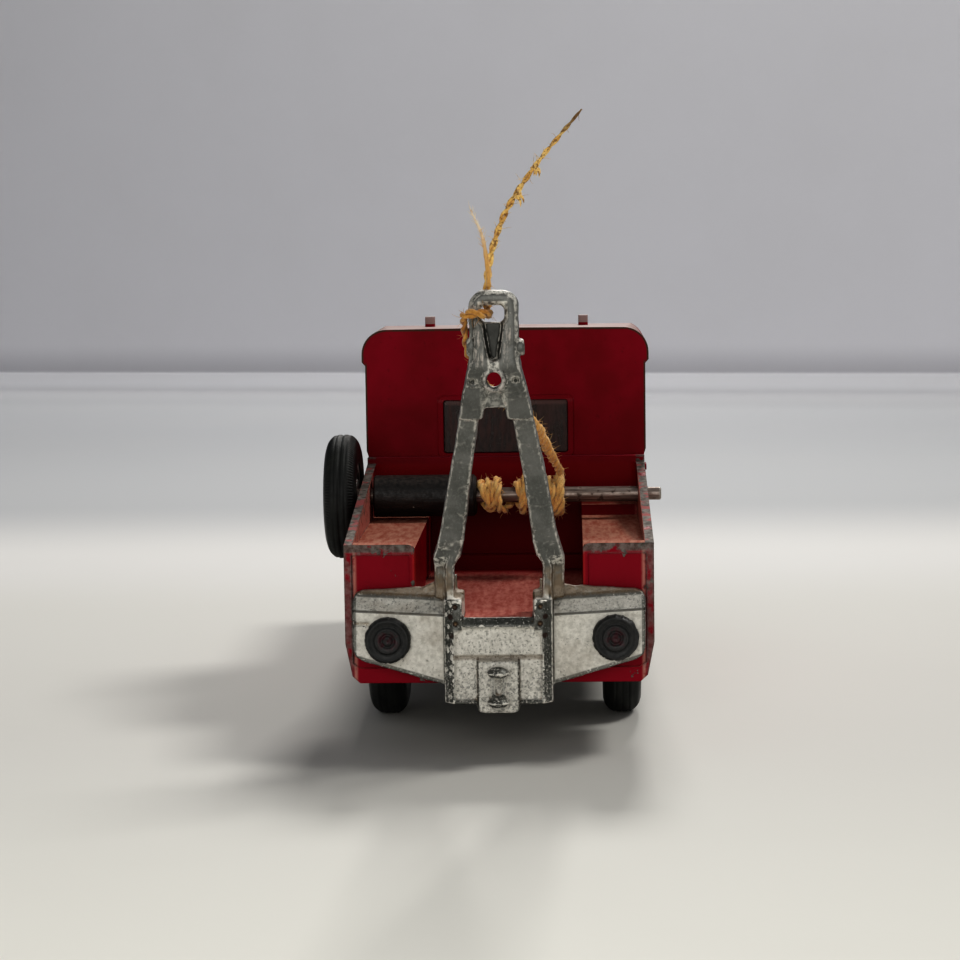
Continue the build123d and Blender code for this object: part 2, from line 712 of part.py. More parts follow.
    # tab under the bed floor, held by the rivet
    with BuildSketch(Plane.XY.offset(tab_z[0])):
        with Locations((0, mid(-1, jib_rivet_y + 3))):
            Rectangle(2 * tab_half_width, jib_rivet_y + 4)
    extrude(amount=tab_z[1] - tab_z[0])
    with BuildSketch(Plane.XY.offset(tab_z[0] - 1)):
        with Locations((0, jib_rivet_y)):
            Circle(rivet_r)
    extrude(amount=4, mode=Mode.SUBTRACT)
    # hitch: raised block, two lens-shaped ears with an upright hole, two upright ribs between them
    with BuildSketch(Plane.XZ.offset(-box_rear_y - 0.6)):
        with BuildLine():
            Polyline(
                (-hitch_half_width, box_bottom_z - 0.7), (-hitch_half_width, 12.1),
                (hitch_half_width, 12.1),
                (hitch_half_width, box_bottom_z - 0.7), (1.8, box_bottom_z - 0.95),
                (-1.8, box_bottom_z - 0.95),
                close=True,
            )
        make_face()
    extrude(amount=1.25)
    with BuildSketch(Plane.XZ.offset(-box_rear_y + 0.5)):
        with Locations((-0.6, mid(ear_z[0], ear_z[1] + ear_thickness)),
                       (0.6, mid(ear_z[0], ear_z[1] + ear_thickness))):
            Rectangle(0.3, ear_z[1] - ear_z[0])
    extrude(amount=0.45)
    for ear_bottom in ear_z:
        ear_top = ear_bottom + ear_thickness
        with BuildSketch(across(ear_y)):
            with BuildLine():
                Polyline(
                    (0, ear_bottom), (ear_rim_r, ear_bottom), (ear_r, mid(ear_bottom, ear_top)),
                    (ear_rim_r, ear_top), (0, ear_top),
                    close=True,
                )
            make_face()
        revolve(axis=Axis((0, ear_y, 0), (0, 0, 1)))
        with BuildSketch(Plane.XY.offset(ear_bottom + 0.2)):
            with Locations((0, mid(ear_y, box_rear_y))):
                Rectangle(2 * ear_rim_r, box_rear_y - ear_y)
        extrude(amount=ear_thickness - 0.4)
    with BuildSketch(Plane.XY.offset(ear_z[0] - 0.5)):
        with Locations((0, ear_y)):
            Circle(ear_hole_r)
    extrude(amount=ear_z[1] - ear_z[0] + ear_thickness + 1, mode=Mode.SUBTRACT)
    # legs: a flange and a narrow post as foot, wide elbow, then leaning back and inward into a
    # socket; the upper half of the jib leans a little to the right
    left_leg = (
        (19.0, -6.5, -2.0, 0.95, 0.9), (22.9, -6.45, -2.5, 1.05, 0.95),
        (elbow_z, -5.92, -3.3, 1.6, 1.4), (26.6, -5.25, -4.6, 1.5, 1.3),
        (34.9, -3.85, -8.3, 1.22, 1.25), (socket_bottom_z + 0.4, -2.7, -11.3, 1.1, 1.2),
    )
    right_leg = (
        (19.0, 6.75, -2.0, 0.95, 0.9), (22.9, 6.75, -2.5, 1.1, 0.95),
        (elbow_z, 6.17, -3.3, 1.65, 1.4), (26.6, 5.6, -4.6, 1.5, 1.3),
        (34.9, 4.45, -8.3, 1.3, 1.25), (socket_bottom_z + 0.4, 3.3, -11.3, 1.2, 1.2),
    )
    left_post = (
        (19.0, -5.6, -3.2, 0.57, 1.1), (23.0, -5.6, -3.6, 0.57, 0.95),
        (24.7, -4.9, -4.15, 0.62, 1.0), (26.4, -4.25, -4.75, 0.5, 1.0),
    )
    right_post = (
        (19.0, 5.75, -3.2, 0.6, 1.1), (23.0, 5.85, -3.6, 0.57, 0.95),
        (24.7, 5.15, -4.15, 0.62, 1.0), (26.4, 4.6, -4.75, 0.5, 1.0),
    )
    left_socket = ((socket_bottom_z, -2.58, -11.3, 1.35, 1.5), (46.5, -1.45, -13.6, 1.4, 1.45))
    right_socket = ((socket_bottom_z, 3.1, -11.3, 1.5, 1.5), (46.5, 2.05, -13.6, 1.4, 1.45))
    for stations in (left_leg, right_leg, left_post, right_post, left_socket, right_socket):
        for low, high in zip(stations[:-1], stations[1:]):
            for station_z, station_x, station_y, half_x, half_y in (low, high):
                with BuildSketch(Plane.XY.offset(station_z)):
                    with Locations((station_x, station_y)):
                        RectangleRounded(2 * half_x, 2 * half_y, 0.45)
            loft()
    # head: rounded top with a bevelled rim
    head_left = head_x - head_half_width
    head_right = head_x + head_half_width
    for layer_y, layer_depth, layer_taper in (
        (head_y[1], head_y[1] - head_y[0] - head_bevel, 0), (head_y[0] + head_bevel, head_bevel, 40),
    ):
        with BuildSketch(across(layer_y)):
            with BuildLine():
                left_edge = Polyline((head_left - 0.5, head_bottom_z), (head_left - 0.4, 46.2),
                                     (head_left, 48.3), (head_left, head_top_z - head_corner_r))
                top_left = RadiusArc(left_edge @ 1, (head_left + head_corner_r, head_top_z),
                                     head_corner_r)
                top_edge = Line(top_left @ 1, (head_right - head_corner_r, head_top_z))
                top_right = RadiusArc(top_edge @ 1, (head_right, head_top_z - head_corner_r),
                                      head_corner_r)
                Polyline(top_right @ 1, (head_right, 48.3), (head_right + 0.4, 46.2),
                         (head_right + 0.5, head_bottom_z), (head_left - 0.5, head_bottom_z))
            make_face()
        extrude(amount=layer_depth, taper=layer_taper)
    # its foot slopes forward to the sockets
    with BuildSketch(Plane.YZ):
        with BuildLine():
            Polyline(
                (head_y[0] - 0.1, rib_foot_z - 0.6), (head_y[0] - 0.1, head_bottom_z - 1),
                (head_y[0] + 1.5, head_bottom_z - 1), (head_y[0] + 1.3, head_bottom_z),
                (head_y[0], rib_foot_z - 0.7),
                close=True,
            )
        make_face()
    extrude(amount=head_half_width + 2, both=True, mode=Mode.SUBTRACT)
    # channel between two ribs, and a groove outside each rib
    with BuildSketch(across(head_y[0] - 0.1)):
        with BuildLine():
            Polyline(
                (-1.05, slot_z[0] + 0.3), (-0.85, 50.6), (-0.3, rib_foot_z), (0.8, rib_foot_z),
                (1.3, 50.6), (1.45, slot_z[0] + 0.3),
                close=True,
            )
        make_face()
    extrude(amount=-1.2, taper=14, mode=Mode.SUBTRACT)
    with BuildSketch(across(head_y[0] - 0.1)):
        for groove_x in (head_left + 0.42, head_right - 0.72):
            with Locations((groove_x, mid(rib_foot_z, head_top_z - head_corner_r))):
                Rectangle(0.34, head_top_z - head_corner_r - rib_foot_z)
    extrude(amount=-0.6, mode=Mode.SUBTRACT)
    # slot for the cord, flared at the rear
    with BuildSketch(across(head_y[0])):
        with Locations((slot_x, mid(*slot_z))):
            RectangleRounded(2 * slot_half_width + 0.9, slot_z[1] - slot_z[0] + 0.9, 1.1)
    extrude(amount=-0.6, taper=36, mode=Mode.SUBTRACT)
    with BuildSketch(across(head_y[0] - 0.1)):
        with Locations((slot_x, mid(*slot_z))):
            RectangleRounded(2 * slot_half_width, slot_z[1] - slot_z[0], 0.7)
    extrude(amount=-5, mode=Mode.SUBTRACT)
    # web between the sockets, set back from them, and the round hole with its rim
    with BuildSketch(Plane.YZ.offset(-1.3)):
        with BuildLine():
            Polyline(
                (web_front_y + 0.2, 42.3), (web_front_y - 1.1, 42.3), (head_y[0] + 1.8, 44.9),
                (head_y[0] + 3.1, 44.9),
                close=True,
            )
        make_face()
    extrude(amount=3.2)
    with BuildSketch(across(web_front_y)):
        with Locations((web_hole_x, web_hole_z)):
            Circle(web_rim_r)
    extrude(amount=web_front_y - head_y[0] + 0.1)
    with BuildSketch(across(head_y[0] - 2)):
        with Locations((web_hole_x, web_hole_z)):
            Circle(web_hole_r)
    extrude(amount=-8, mode=Mode.SUBTRACT)
    # dimples beside the hole, and side lugs
    with BuildSketch(across(head_y[0] - 0.1)):
        with Locations((web_hole_x - dimple_x, web_hole_z - 0.2),
                       (web_hole_x + dimple_x, web_hole_z - 0.1)):
            Circle(dimple_r)
    extrude(amount=-1.5, mode=Mode.SUBTRACT)
    for lug_side, lug_edge, lug_reach in ((1, head_right, 0.64), (-1, head_left, 0.35)):
        with BuildSketch(Plane.YZ.offset(lug_edge - 0.3 * lug_side)):
            with Locations((mid(*head_y), 49.2)):
                Circle(0.95)
        extrude(amount=lug_side * (lug_reach + 0.3))
    # seats of the tail lamps
    for side_name, lamp_x, lamp_z in tail_lamp_centre:
        with BuildSketch(Plane.XZ.offset(-plate_rear_y + 0.1)):
            with Locations((lamp_x, lamp_z)):
                Circle(1.2)
        extrude(amount=-1.6, mode=Mode.SUBTRACT)
save(jib_casting, "jib_casting")

with BuildPart() as jib_rivet:
    with BuildSketch(Plane.XY.offset(tab_z[0] - 0.9)):
        with Locations((0, jib_rivet_y)):
            Circle(2.0)
    extrude(amount=0.9)
    chamfer(jib_rivet.edges().group_by(Axis.Z)[0], length=0.4)
    with BuildSketch(Plane.XY.offset(tab_z[0])):
        with Locations((0, jib_rivet_y)):
            Circle(rivet_r)
    extrude(amount=tab_z[1] - tab_z[0] + 1.9)
save(jib_rivet, "jib_rivet")

# ---------------------------------------------------------------- tail lamps
for side_name, lamp_x, lamp_z in tail_lamp_centre:
    lamp_plane = Plane(origin=(lamp_x, plate_rear_y, lamp_z), x_dir=(1, 0, 0),
                       z_dir=(0, 0, 1))
    with BuildPart() as tail_lamp:
        with BuildSketch(lamp_plane):
            with BuildLine():
                Polyline(
                    (0, 1.4), (1.15, 1.4), (1.15, 0), (tail_lamp_r, 0), (tail_lamp_r, -0.9),
                    (tail_lamp_r - 0.3, -1.2), (2.1, -1.2), (1.95, -1.0), (1.65, -1.0), (1.5, -1.25),
                    (1.0, -1.25), (0.85, -1.0), (0.55, -1.0), (0.3, -1.2), (0, -1.25),
                    close=True,
                )
            make_face()
        revolve(axis=Axis(lamp_plane.origin, (0, 1, 0)))
    save(tail_lamp, f"tail_lamp_{side_name}")

# ---------------------------------------------------------------- window moulding
glass = 0.7
pane_gap = 0.1
with BuildPart() as window_moulding:
    with BuildSketch(Plane.YZ):
        with BuildLine():
            Polyline(
                (cab_rear_y + wall + pane_gap, 31.3), (cab_rear_y + wall + pane_gap, 45.4),
                (screen_top_y - wall - pane_gap + 0.35, 45.4), (screen_foot_y - wall - 0.5, 31.3),
                close=True,
            )
        make_face()
    extrude(amount=body_half_width - side_wall - pane_gap, both=True)
    with BuildSketch(Plane.YZ):
        with BuildLine():
            Polyline(
                (cab_rear_y + wall + pane_gap + glass, 30), (cab_rear_y + wall + pane_gap + glass, 44.7),
                (screen_top_y - wall - pane_gap - glass + 0.35, 44.7),
                (screen_foot_y - wall - 0.5 - glass, 30),
                close=True,
            )
        make_face()
    extrude(amount=body_half_width - side_wall - pane_gap - glass, both=True, mode=Mode.SUBTRACT)
    # the rear pane stands into its opening
    with BuildSketch(across(cab_rear_y + wall + pane_gap)):
        with Locations((0, mid(*rear_window_z))):
            RectangleRounded(2 * (rear_window_half_width - pane_gap),
                             rear_window_z[1] - rear_window_z[0] - 2 * pane_gap, 0.3)
    extrude(amount=wall - 0.35)
save(window_moulding, "window_moulding")

# ---------------------------------------------------------------- cab inside
seat_front_y = 50.5
with BuildPart() as seat_moulding:
    with BuildSketch(Plane.YZ):
        with BuildLine():
            Polyline(
                (40.6, base_z[1] + seat_gap), (40.6, 29.0), (41.2, 29.6), (43.0, 29.6), (43.6, 29.0),
                (44.3, 19.6), (seat_front_y - 0.6, 19.6), (seat_front_y, 19.0),
                (seat_front_y, 16.4), (seat_front_y - 1.6, 15.6),
                (seat_front_y - 1.6, base_z[1] + seat_gap),
                close=True,
            )
        make_face()
    extrude(amount=15.6, both=True)
    with BuildSketch(Plane.XY.offset(19.0)):
        with Locations((-5.2, 46), (5.2, 46)):
            Rectangle(0.5, 14)
    extrude(amount=12, mode=Mode.SUBTRACT)
save(seat_moulding, "seat_moulding")

wheel_centre = (-7.8, 53.2, 28.4)
column_lean = 38
steer_plane = Plane(origin=wheel_centre, x_dir=(1, 0, 0), z_dir=(0, -1, 0)).rotated((-column_lean, 0, 0))
with BuildPart() as steering_wheel:
    with BuildSketch(steer_plane):
        Circle(3.3)
        Circle(2.6, mode=Mode.SUBTRACT)
        Circle(0.8)
        with PolarLocations(1.6, 3):
            Rectangle(2.4, 0.5)
    extrude(amount=0.3, both=True)
    with BuildSketch(steer_plane):
        Circle(0.5)
    extrude(amount=-9)
    split(bisect_by=across(screen_foot_y - wall - 0.2), keep=Keep.TOP)
save(steering_wheel, "steering_wheel")

# ---------------------------------------------------------------- front trim
grille_y = body_front_y - 1.6
grille_height = grille_z[1] - grille_z[0]
bar_count = 7
with BuildPart() as grille_insert:
    with BuildSketch(across(grille_y)):
        with Locations((0, mid(*grille_z))):
            RectangleRounded(grille_width - 0.2, grille_height - 0.2, 1.1)
    extrude(amount=-0.7)
    with BuildSketch(across(grille_y + 0.7)):
        with Locations((0, mid(*grille_z))):
            with GridLocations(0, 1.65, 1, bar_count):
                RectangleRounded(grille_width - 2.2, 0.75, 0.3)
        with Locations((0, mid(*grille_z))):
            RectangleRounded(grille_width - 0.2, grille_height - 0.2, 1.1)
            RectangleRounded(grille_width - 1.0, grille_height - 1.0, 0.8, mode=Mode.SUBTRACT)
    extrude(amount=-0.6)
save(grille_insert, "grille_insert")

lens_r = headlamp_r - 0.6
dome_height = 0.7
dome_r = (lens_r ** 2 + dome_height ** 2) / (2 * dome_height)
for side_name, hand in (("left", -1), ("right", 1)):
    lamp_plane = Plane(origin=(hand * headlamp_x, body_front_y - 1.2, headlamp_z), x_dir=(1, 0, 0),
                       z_dir=(0, 0, 1))
    with BuildPart() as headlamp:
        with BuildSketch(lamp_plane):
            with BuildLine():
                Polyline((0, 0), (headlamp_r - 0.05, 0), (headlamp_r - 0.05, 1.5),
                         (headlamp_r - 0.4, 1.7), (lens_r, 1.4))
                RadiusArc((lens_r, 1.4), (0, 1.4 + dome_height), -dome_r)
                Line((0, 1.4 + dome_height), (0, 0))
            make_face()
        revolve(axis=Axis(lamp_plane.origin, (0, 1, 0)))
    save(headlamp, f"headlamp_{side_name}")

# ---------------------------------------------------------------- cord
corners = [Vector(*point) for point in cord_route]
cord_radii = []
for before, corner, after in zip(corners[:-2], corners[1:-1], corners[2:]):
    turn = (corner - before).get_angle(after - corner)
    shorter = min((corner - before).length, (after - corner).length)
    cord_radii.append(0.45 * shorter / tan(radians(turn) / 2))
with BuildPart() as cord_run:
    with BuildLine():
        cord_path = FilletPolyline(*cord_route, radius=cord_radii)
    with BuildSketch(Plane(origin=cord_path @ 0, z_dir=cord_path % 0)):
        Circle(cord_d / 2)
    sweep(path=cord_path)
print("cord length", round(cord_path.length, 2), "volume ratio",
      round(cord_run.part.volume / (cord_path.length * pi * cord_d ** 2 / 4), 4))
save(cord_run, "cord_run")
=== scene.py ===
import json
import math
import random

import bpy
from mathutils import Matrix, Vector, noise

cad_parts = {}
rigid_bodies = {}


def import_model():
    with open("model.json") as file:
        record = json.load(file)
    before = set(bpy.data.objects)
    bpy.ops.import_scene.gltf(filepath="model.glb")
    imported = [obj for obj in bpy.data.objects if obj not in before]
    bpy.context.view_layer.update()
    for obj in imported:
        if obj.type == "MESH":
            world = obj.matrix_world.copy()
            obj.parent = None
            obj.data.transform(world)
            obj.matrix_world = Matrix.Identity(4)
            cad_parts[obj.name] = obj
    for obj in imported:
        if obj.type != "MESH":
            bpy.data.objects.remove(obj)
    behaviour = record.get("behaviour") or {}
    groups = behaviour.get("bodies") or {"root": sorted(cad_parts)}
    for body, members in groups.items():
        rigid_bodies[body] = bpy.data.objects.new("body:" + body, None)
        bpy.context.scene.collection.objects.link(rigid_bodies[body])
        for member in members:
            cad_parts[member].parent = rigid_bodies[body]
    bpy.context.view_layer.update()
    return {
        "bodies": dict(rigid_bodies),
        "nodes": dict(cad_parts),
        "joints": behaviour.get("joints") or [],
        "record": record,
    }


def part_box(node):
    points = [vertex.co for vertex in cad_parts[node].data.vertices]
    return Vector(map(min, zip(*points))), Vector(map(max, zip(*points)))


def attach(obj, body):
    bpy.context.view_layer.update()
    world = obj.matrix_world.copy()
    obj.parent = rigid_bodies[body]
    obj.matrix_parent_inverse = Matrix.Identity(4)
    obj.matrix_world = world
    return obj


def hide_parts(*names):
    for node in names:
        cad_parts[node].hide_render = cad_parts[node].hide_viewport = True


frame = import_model()
nodes = frame["nodes"]
MM = 0.001                    # the script thinks in millimetres, Blender in metres


# ---------------------------------------------------------------- camera, floor and light
def camera():
    """Low view from behind, slightly above the truck and a little to its right."""
    yaw, pitch, roll = math.radians(-2.23), math.radians(6.35), math.radians(-0.82)
    forward = Vector((math.sin(yaw) * math.cos(pitch), math.cos(yaw) * math.cos(pitch), -math.sin(pitch)))
    level = Vector((math.cos(yaw), -math.sin(yaw), 0))
    upright = level.cross(forward)
    right = level * math.cos(roll) + upright * math.sin(roll)
    up = upright * math.cos(roll) - level * math.sin(roll)
    data = bpy.data.cameras.new("camera")
    data.lens = 90.66
    data.clip_start = 0.01
    eye = bpy.data.objects.new("camera", data)
    turn = Matrix((right, up, -forward)).transposed().to_4x4()
    eye.matrix_world = Matrix.Translation(Vector((8.99, -283.57, 64.27)) * MM) @ turn
    bpy.context.scene.collection.objects.link(eye)
    bpy.context.scene.camera = eye


def add_object(name, verts, faces):
    """New smooth mesh object at the origin, from points in millimetres."""
    mesh = bpy.data.meshes.new(name)
    mesh.from_pydata([Vector(v) * MM for v in verts], [], faces)
    mesh.validate()
    mesh.polygons.foreach_set("use_smooth", [True] * len(mesh.polygons))
    obj = bpy.data.objects.new(name, mesh)
    bpy.context.scene.collection.objects.link(obj)
    return obj


def soft_light(name, place, target, size, power, colour=(1, 1, 1)):
    """Square area lamp, placed and aimed in millimetres, power in watts."""
    data = bpy.data.lights.new(name, "AREA")
    data.size = size * MM
    data.energy = power
    data.color = colour
    lamp = bpy.data.objects.new(name, data)
    aim = Vector(target) - Vector(place)
    lamp.location = Vector(place) * MM
    lamp.rotation_euler = aim.to_track_quat("-Z", "Y").to_euler()
    bpy.context.scene.collection.objects.link(lamp)


# ---------------------------------------------------------------- procedural materials
class Surface:
    """Material that is painted in layers. Places are in millimetres in the row frame, colours are
    linear, and a mask is a socket or number from 0 to 1."""

    def __init__(self, name):
        self.material = bpy.data.materials.new(name)
        self.material.use_nodes = True
        self.tree = self.material.node_tree
        self.shader = self.tree.nodes["Principled BSDF"]
        self.colour = None
        coords = self.node("ShaderNodeTexCoord")
        self.place = self.vector("SCALE", coords.outputs["Object"], scale=1 / MM)
        self.x, self.y, self.z = self.split(self.place)
        self.normal_x, self.normal_y, self.normal_z = self.split(coords.outputs["Normal"])

    def node(self, kind, **settings):
        made = self.tree.nodes.new(kind)
        for name, value in settings.items():
            setattr(made, name, value)
        return made

    def feed(self, socket, value):
        """Link a socket, or set a number, vector or colour."""
        if isinstance(value, bpy.types.NodeSocket):
            self.tree.links.new(value, socket)
        elif isinstance(value, tuple) and socket.type == "RGBA":
            socket.default_value = (*value, 1)
        else:
            socket.default_value = value

    def split(self, vector):
        made = self.node("ShaderNodeSeparateXYZ")
        self.feed(made.inputs[0], vector)
        return tuple(made.outputs)

    def vector(self, operation, a, b=None, scale=None):
        made = self.node("ShaderNodeVectorMath", operation=operation)
        self.feed(made.inputs[0], a)
        if b is not None:
            self.feed(made.inputs[1], b)
        if scale is not None:
            self.feed(made.inputs["Scale"], scale)
        return made.outputs["Value" if operation == "DOT_PRODUCT" else "Vector"]

    def math(self, operation, *values):
        """The operation done on the first two values, then on the result and the next."""
        result = values[0]
        for value in values[1:]:
            made = self.node("ShaderNodeMath", operation=operation)
            self.feed(made.inputs[0], result)
            self.feed(made.inputs[1], value)
            result = made.outputs[0]
        return result

    def both(self, *values):
        return self.math("MULTIPLY", *values)

    def either(self, *values):
        return self.math("MAXIMUM", *values)

    def add(self, *values):
        return self.math("ADD", *values)

    def minus(self, a, b):
        return self.math("SUBTRACT", a, b)

    def rest(self, mask):
        return self.math("SUBTRACT", 1.0, mask)

    def size(self, a):
        return self.math("ABSOLUTE", a, 0.0)

    def length(self, *offsets):
        return self.math("SQRT", self.add(*[self.both(offset, offset) for offset in offsets]), 0.0)

    def band(self, value, low, high, to=(0.0, 1.0)):
        """Smooth step: to[0] up to low, to[1] from high on."""
        made = self.node("ShaderNodeMapRange", interpolation_type="SMOOTHSTEP")
        self.feed(made.inputs["Value"], value)
        for socket, number in zip(("From Min", "From Max", "To Min", "To Max"), (low, high, *to)):
            self.feed(made.inputs[socket], number)
        return made.outputs["Result"]

    def within(self, value, start, full, fading, end):
        """1 between full and fading, 0 before start and after end."""
        return self.both(self.band(value, start, full), self.band(value, end, fading))

    def near(self, value, middle, far, close):
        """1 when the value is closer to the middle than close, 0 beyond far."""
        return self.band(self.size(self.minus(value, middle)), far, close)

    def noise(self, size, detail=4.0, rough=0.55, stretch=(1, 1, 1), offset=0.0):
        """Noise whose lumps are about that many millimetres across."""
        made = self.node("ShaderNodeTexNoise")
        where = self.place
        if stretch != (1, 1, 1) or offset:
            where = self.vector("MULTIPLY", where, tuple(1 / s for s in stretch))
            where = self.vector("ADD", where, (offset, offset, offset))
        self.feed(made.inputs["Vector"], where)
        self.feed(made.inputs["Scale"], 1 / size)
        self.feed(made.inputs["Detail"], detail)
        self.feed(made.inputs["Roughness"], rough)
        return made.outputs["Fac"]

    def patches(self, size, low, high, detail=5.0, to=(0.0, 1.0), **settings):
        """Mask of noise: to[0] where it's under low, to[1] over high."""
        return self.band(self.noise(size, detail, **settings), low, high, to)

    def mix(self, factor, a, b):
        made = self.node("ShaderNodeMix", data_type="RGBA")
        self.feed(made.inputs[0], factor)
        self.feed(made.inputs[6], a)
        self.feed(made.inputs[7], b)
        return made.outputs[2]

    def mottle(self, field, a, b, low=0.35, high=0.65):
        """Start the paint with two tones that follow a noise or a place."""
        self.colour = self.mix(self.band(field, low, high), a, b)

    def paint(self, tone, *masks):
        """Lay a tone over the colour so far, as strongly as the product of the masks."""
        self.colour = self.mix(self.both(*masks), self.colour, tone)

    def edges(self, radius, strength=(0.985, 0.85)):
        """1 on sharp edges, within about that radius in millimetres."""
        bevel = self.node("ShaderNodeBevel", samples=4)
        self.feed(bevel.inputs["Radius"], radius * MM)
        true_normal = self.node("ShaderNodeNewGeometry").outputs["Normal"]
        return self.band(self.vector("DOT_PRODUCT", bevel.outputs[0], true_normal), *strength)

    def crests(self, low, high):
        """1 on ridges of a dense mesh where low is below high, in its hollows where it's above."""
        return self.band(self.node("ShaderNodeNewGeometry").outputs["Pointiness"], low, high)

    def distance(self, centre, plane="YZ"):
        """Distance from the axis through centre that is square to that plane."""
        axes = zip("XYZ", (self.x, self.y, self.z), centre)
        return self.length(*[self.minus(value, middle) for letter, value, middle in axes if letter in plane])

    def done(self, rough, height=None, depth=0.05, soft_edge=0.0, **others):
        """Wire up the shader; height is a bump in units of depth millimetres."""
        self.feed(self.shader.inputs["Base Color"], self.colour)
        self.feed(self.shader.inputs["Roughness"], rough)
        for name, value in others.items():
            self.feed(self.shader.inputs[name.replace("_", " ")], value)
        normal = None
        if soft_edge:
            bevel = self.node("ShaderNodeBevel", samples=4)
            self.feed(bevel.inputs["Radius"], soft_edge * MM)
            normal = bevel.outputs[0]
        if height is not None:
            bump = self.node("ShaderNodeBump")
            self.feed(bump.inputs["Strength"], 1.0)
            self.feed(bump.inputs["Distance"], depth * MM)
            self.feed(bump.inputs["Height"], height)
            if normal is not None:
                self.feed(bump.inputs["Normal"], normal)
            normal = bump.outputs[0]
        if normal is not None:
            self.feed(self.shader.inputs["Normal"], normal)
        return self.material


# ---------------------------------------------------------------- red body
def bed_dust(s):
    """Salmon dust on the bed floor, sandier on the arch tops; returns where it lies."""
    streaks = s.noise(1.3, detail=5, stretch=(0.5, 3.5, 1.5))
    dust_grain = s.noise(0.8, detail=6, rough=0.65, stretch=(0.8, 3.0, 1.0), offset=19.0)
    mottled = s.band(s.add(s.both(streaks, 0.4), s.both(dust_grain, 0.6)), 0.34, 0.66)
    salmon = s.mix(mottled, (0.36, 0.095, 0.075), (0.56, 0.235, 0.190))
    sand = s.mix(mottled, (0.33, 0.115, 0.075), (0.49, 0.275, 0.195))
    on_arch = s.band(s.z, 23.6, 24.2)
    dust = s.mix(s.both(on_arch, 0.85), salmon, sand)
    behind_winch = s.band(s.add(s.y, s.both(streaks, 4.0)), 36.5, 28.0)
    floor_dust = s.both(s.up, s.bed, s.either(behind_winch, on_arch))
    swept = s.both(s.bed, s.band(s.y, 31.0, 33.0), s.band(s.add(s.z, dust_grain), 20.3, 18.4),
                   s.band(s.side, 10.4, 10.1))
    s.paint(dust, s.either(s.both(floor_dust, 0.93), s.both(swept, 0.55)))
    return floor_dust


def bed_walls(s):
    """Rubbed inner walls, reddish sides of the arch boxes, and the bulkhead: plain crimson high up, painted
    shade low down.
    """
    upright = s.band(s.normal_z, 0.5, 0.3)
    s.paint((0.50, 0.21, 0.17), s.bed, s.band(s.side, 16.8, 17.2), upright,
            s.band(s.grain, 0.25, 0.50), s.band(s.y, 36.0, 26.0))
    s.paint((0.45, 0.035, 0.030), s.bed, s.band(s.side, 10.4, 10.1), s.band(s.y, 4.5, 0.5), upright,
            s.band(s.z, 17.2, 18.5), 0.6)
    bulkhead = s.both(s.within(s.y, 31.0, 33.0, 36.5, 37.6), s.band(s.z, 31.4, 30.6))
    # painted shade low on the bulkhead, under the ledge and towards its middle
    s.paint((0.13, 0.0006, 0.0025), bulkhead, s.band(s.z, 28.0, 25.0), s.band(s.side, 16.0, 12.0))
    s.paint((0.21, 0.0010, 0.006), bulkhead, s.band(s.z, 27.5, 29.0))


def cab_marks(s):
    """Painted highlight along the ledge's top, dusty roof, grey-pink lugs, and the pale upper edge of the
    rear window's opening.
    """
    # painted highlight: brighter red on the top of the ledge
    s.paint((0.36, 0.035, 0.055), s.up, s.band(s.z, 31.2, 31.6), s.within(s.y, 35.4, 35.8, 37.6, 38.2), 0.85)
    s.paint((0.40, 0.30, 0.275), s.on_cab, s.up, s.band(s.z, 47.0, 48.0),
            s.band(s.cloud, 0.25, 0.5, to=(0.5, 0.95)))
    s.paint((0.35, 0.20, 0.19), s.on_cab, s.band(s.y, 38.9, 38.7), s.within(s.z, 38.85, 38.95, 39.25, 39.35),
            s.band(s.side, 9.2, 8.8), s.patches(1.6, 0.38, 0.50, detail=4, offset=21.0), 0.6)
    s.paint((0.36, 0.29, 0.27), s.on_cab, s.band(s.z, 48.90, 49.0), s.band(s.side, 8.6, 8.9), 0.85)


def cab_outline(s):
    """Dark olive line where the enamel is rubbed off round the cab's rear outline."""
    over = s.either(s.minus(s.side, 15.8), 0.0)
    above = s.either(s.minus(s.z, 45.4), 0.0)
    rim = s.either(s.band(s.length(over, above), 2.98, 3.12),
                   s.both(s.band(s.side, 18.35, 18.5), s.band(s.z, 44.6, 43.8)))
    s.paint((0.052, 0.040, 0.026), rim, s.within(s.y, 37.7, 37.85, 38.4, 38.8), s.band(s.up, 0.6, 0.3),
            s.band(s.grain, 0.30, 0.50, to=(0.5, 0.9)))


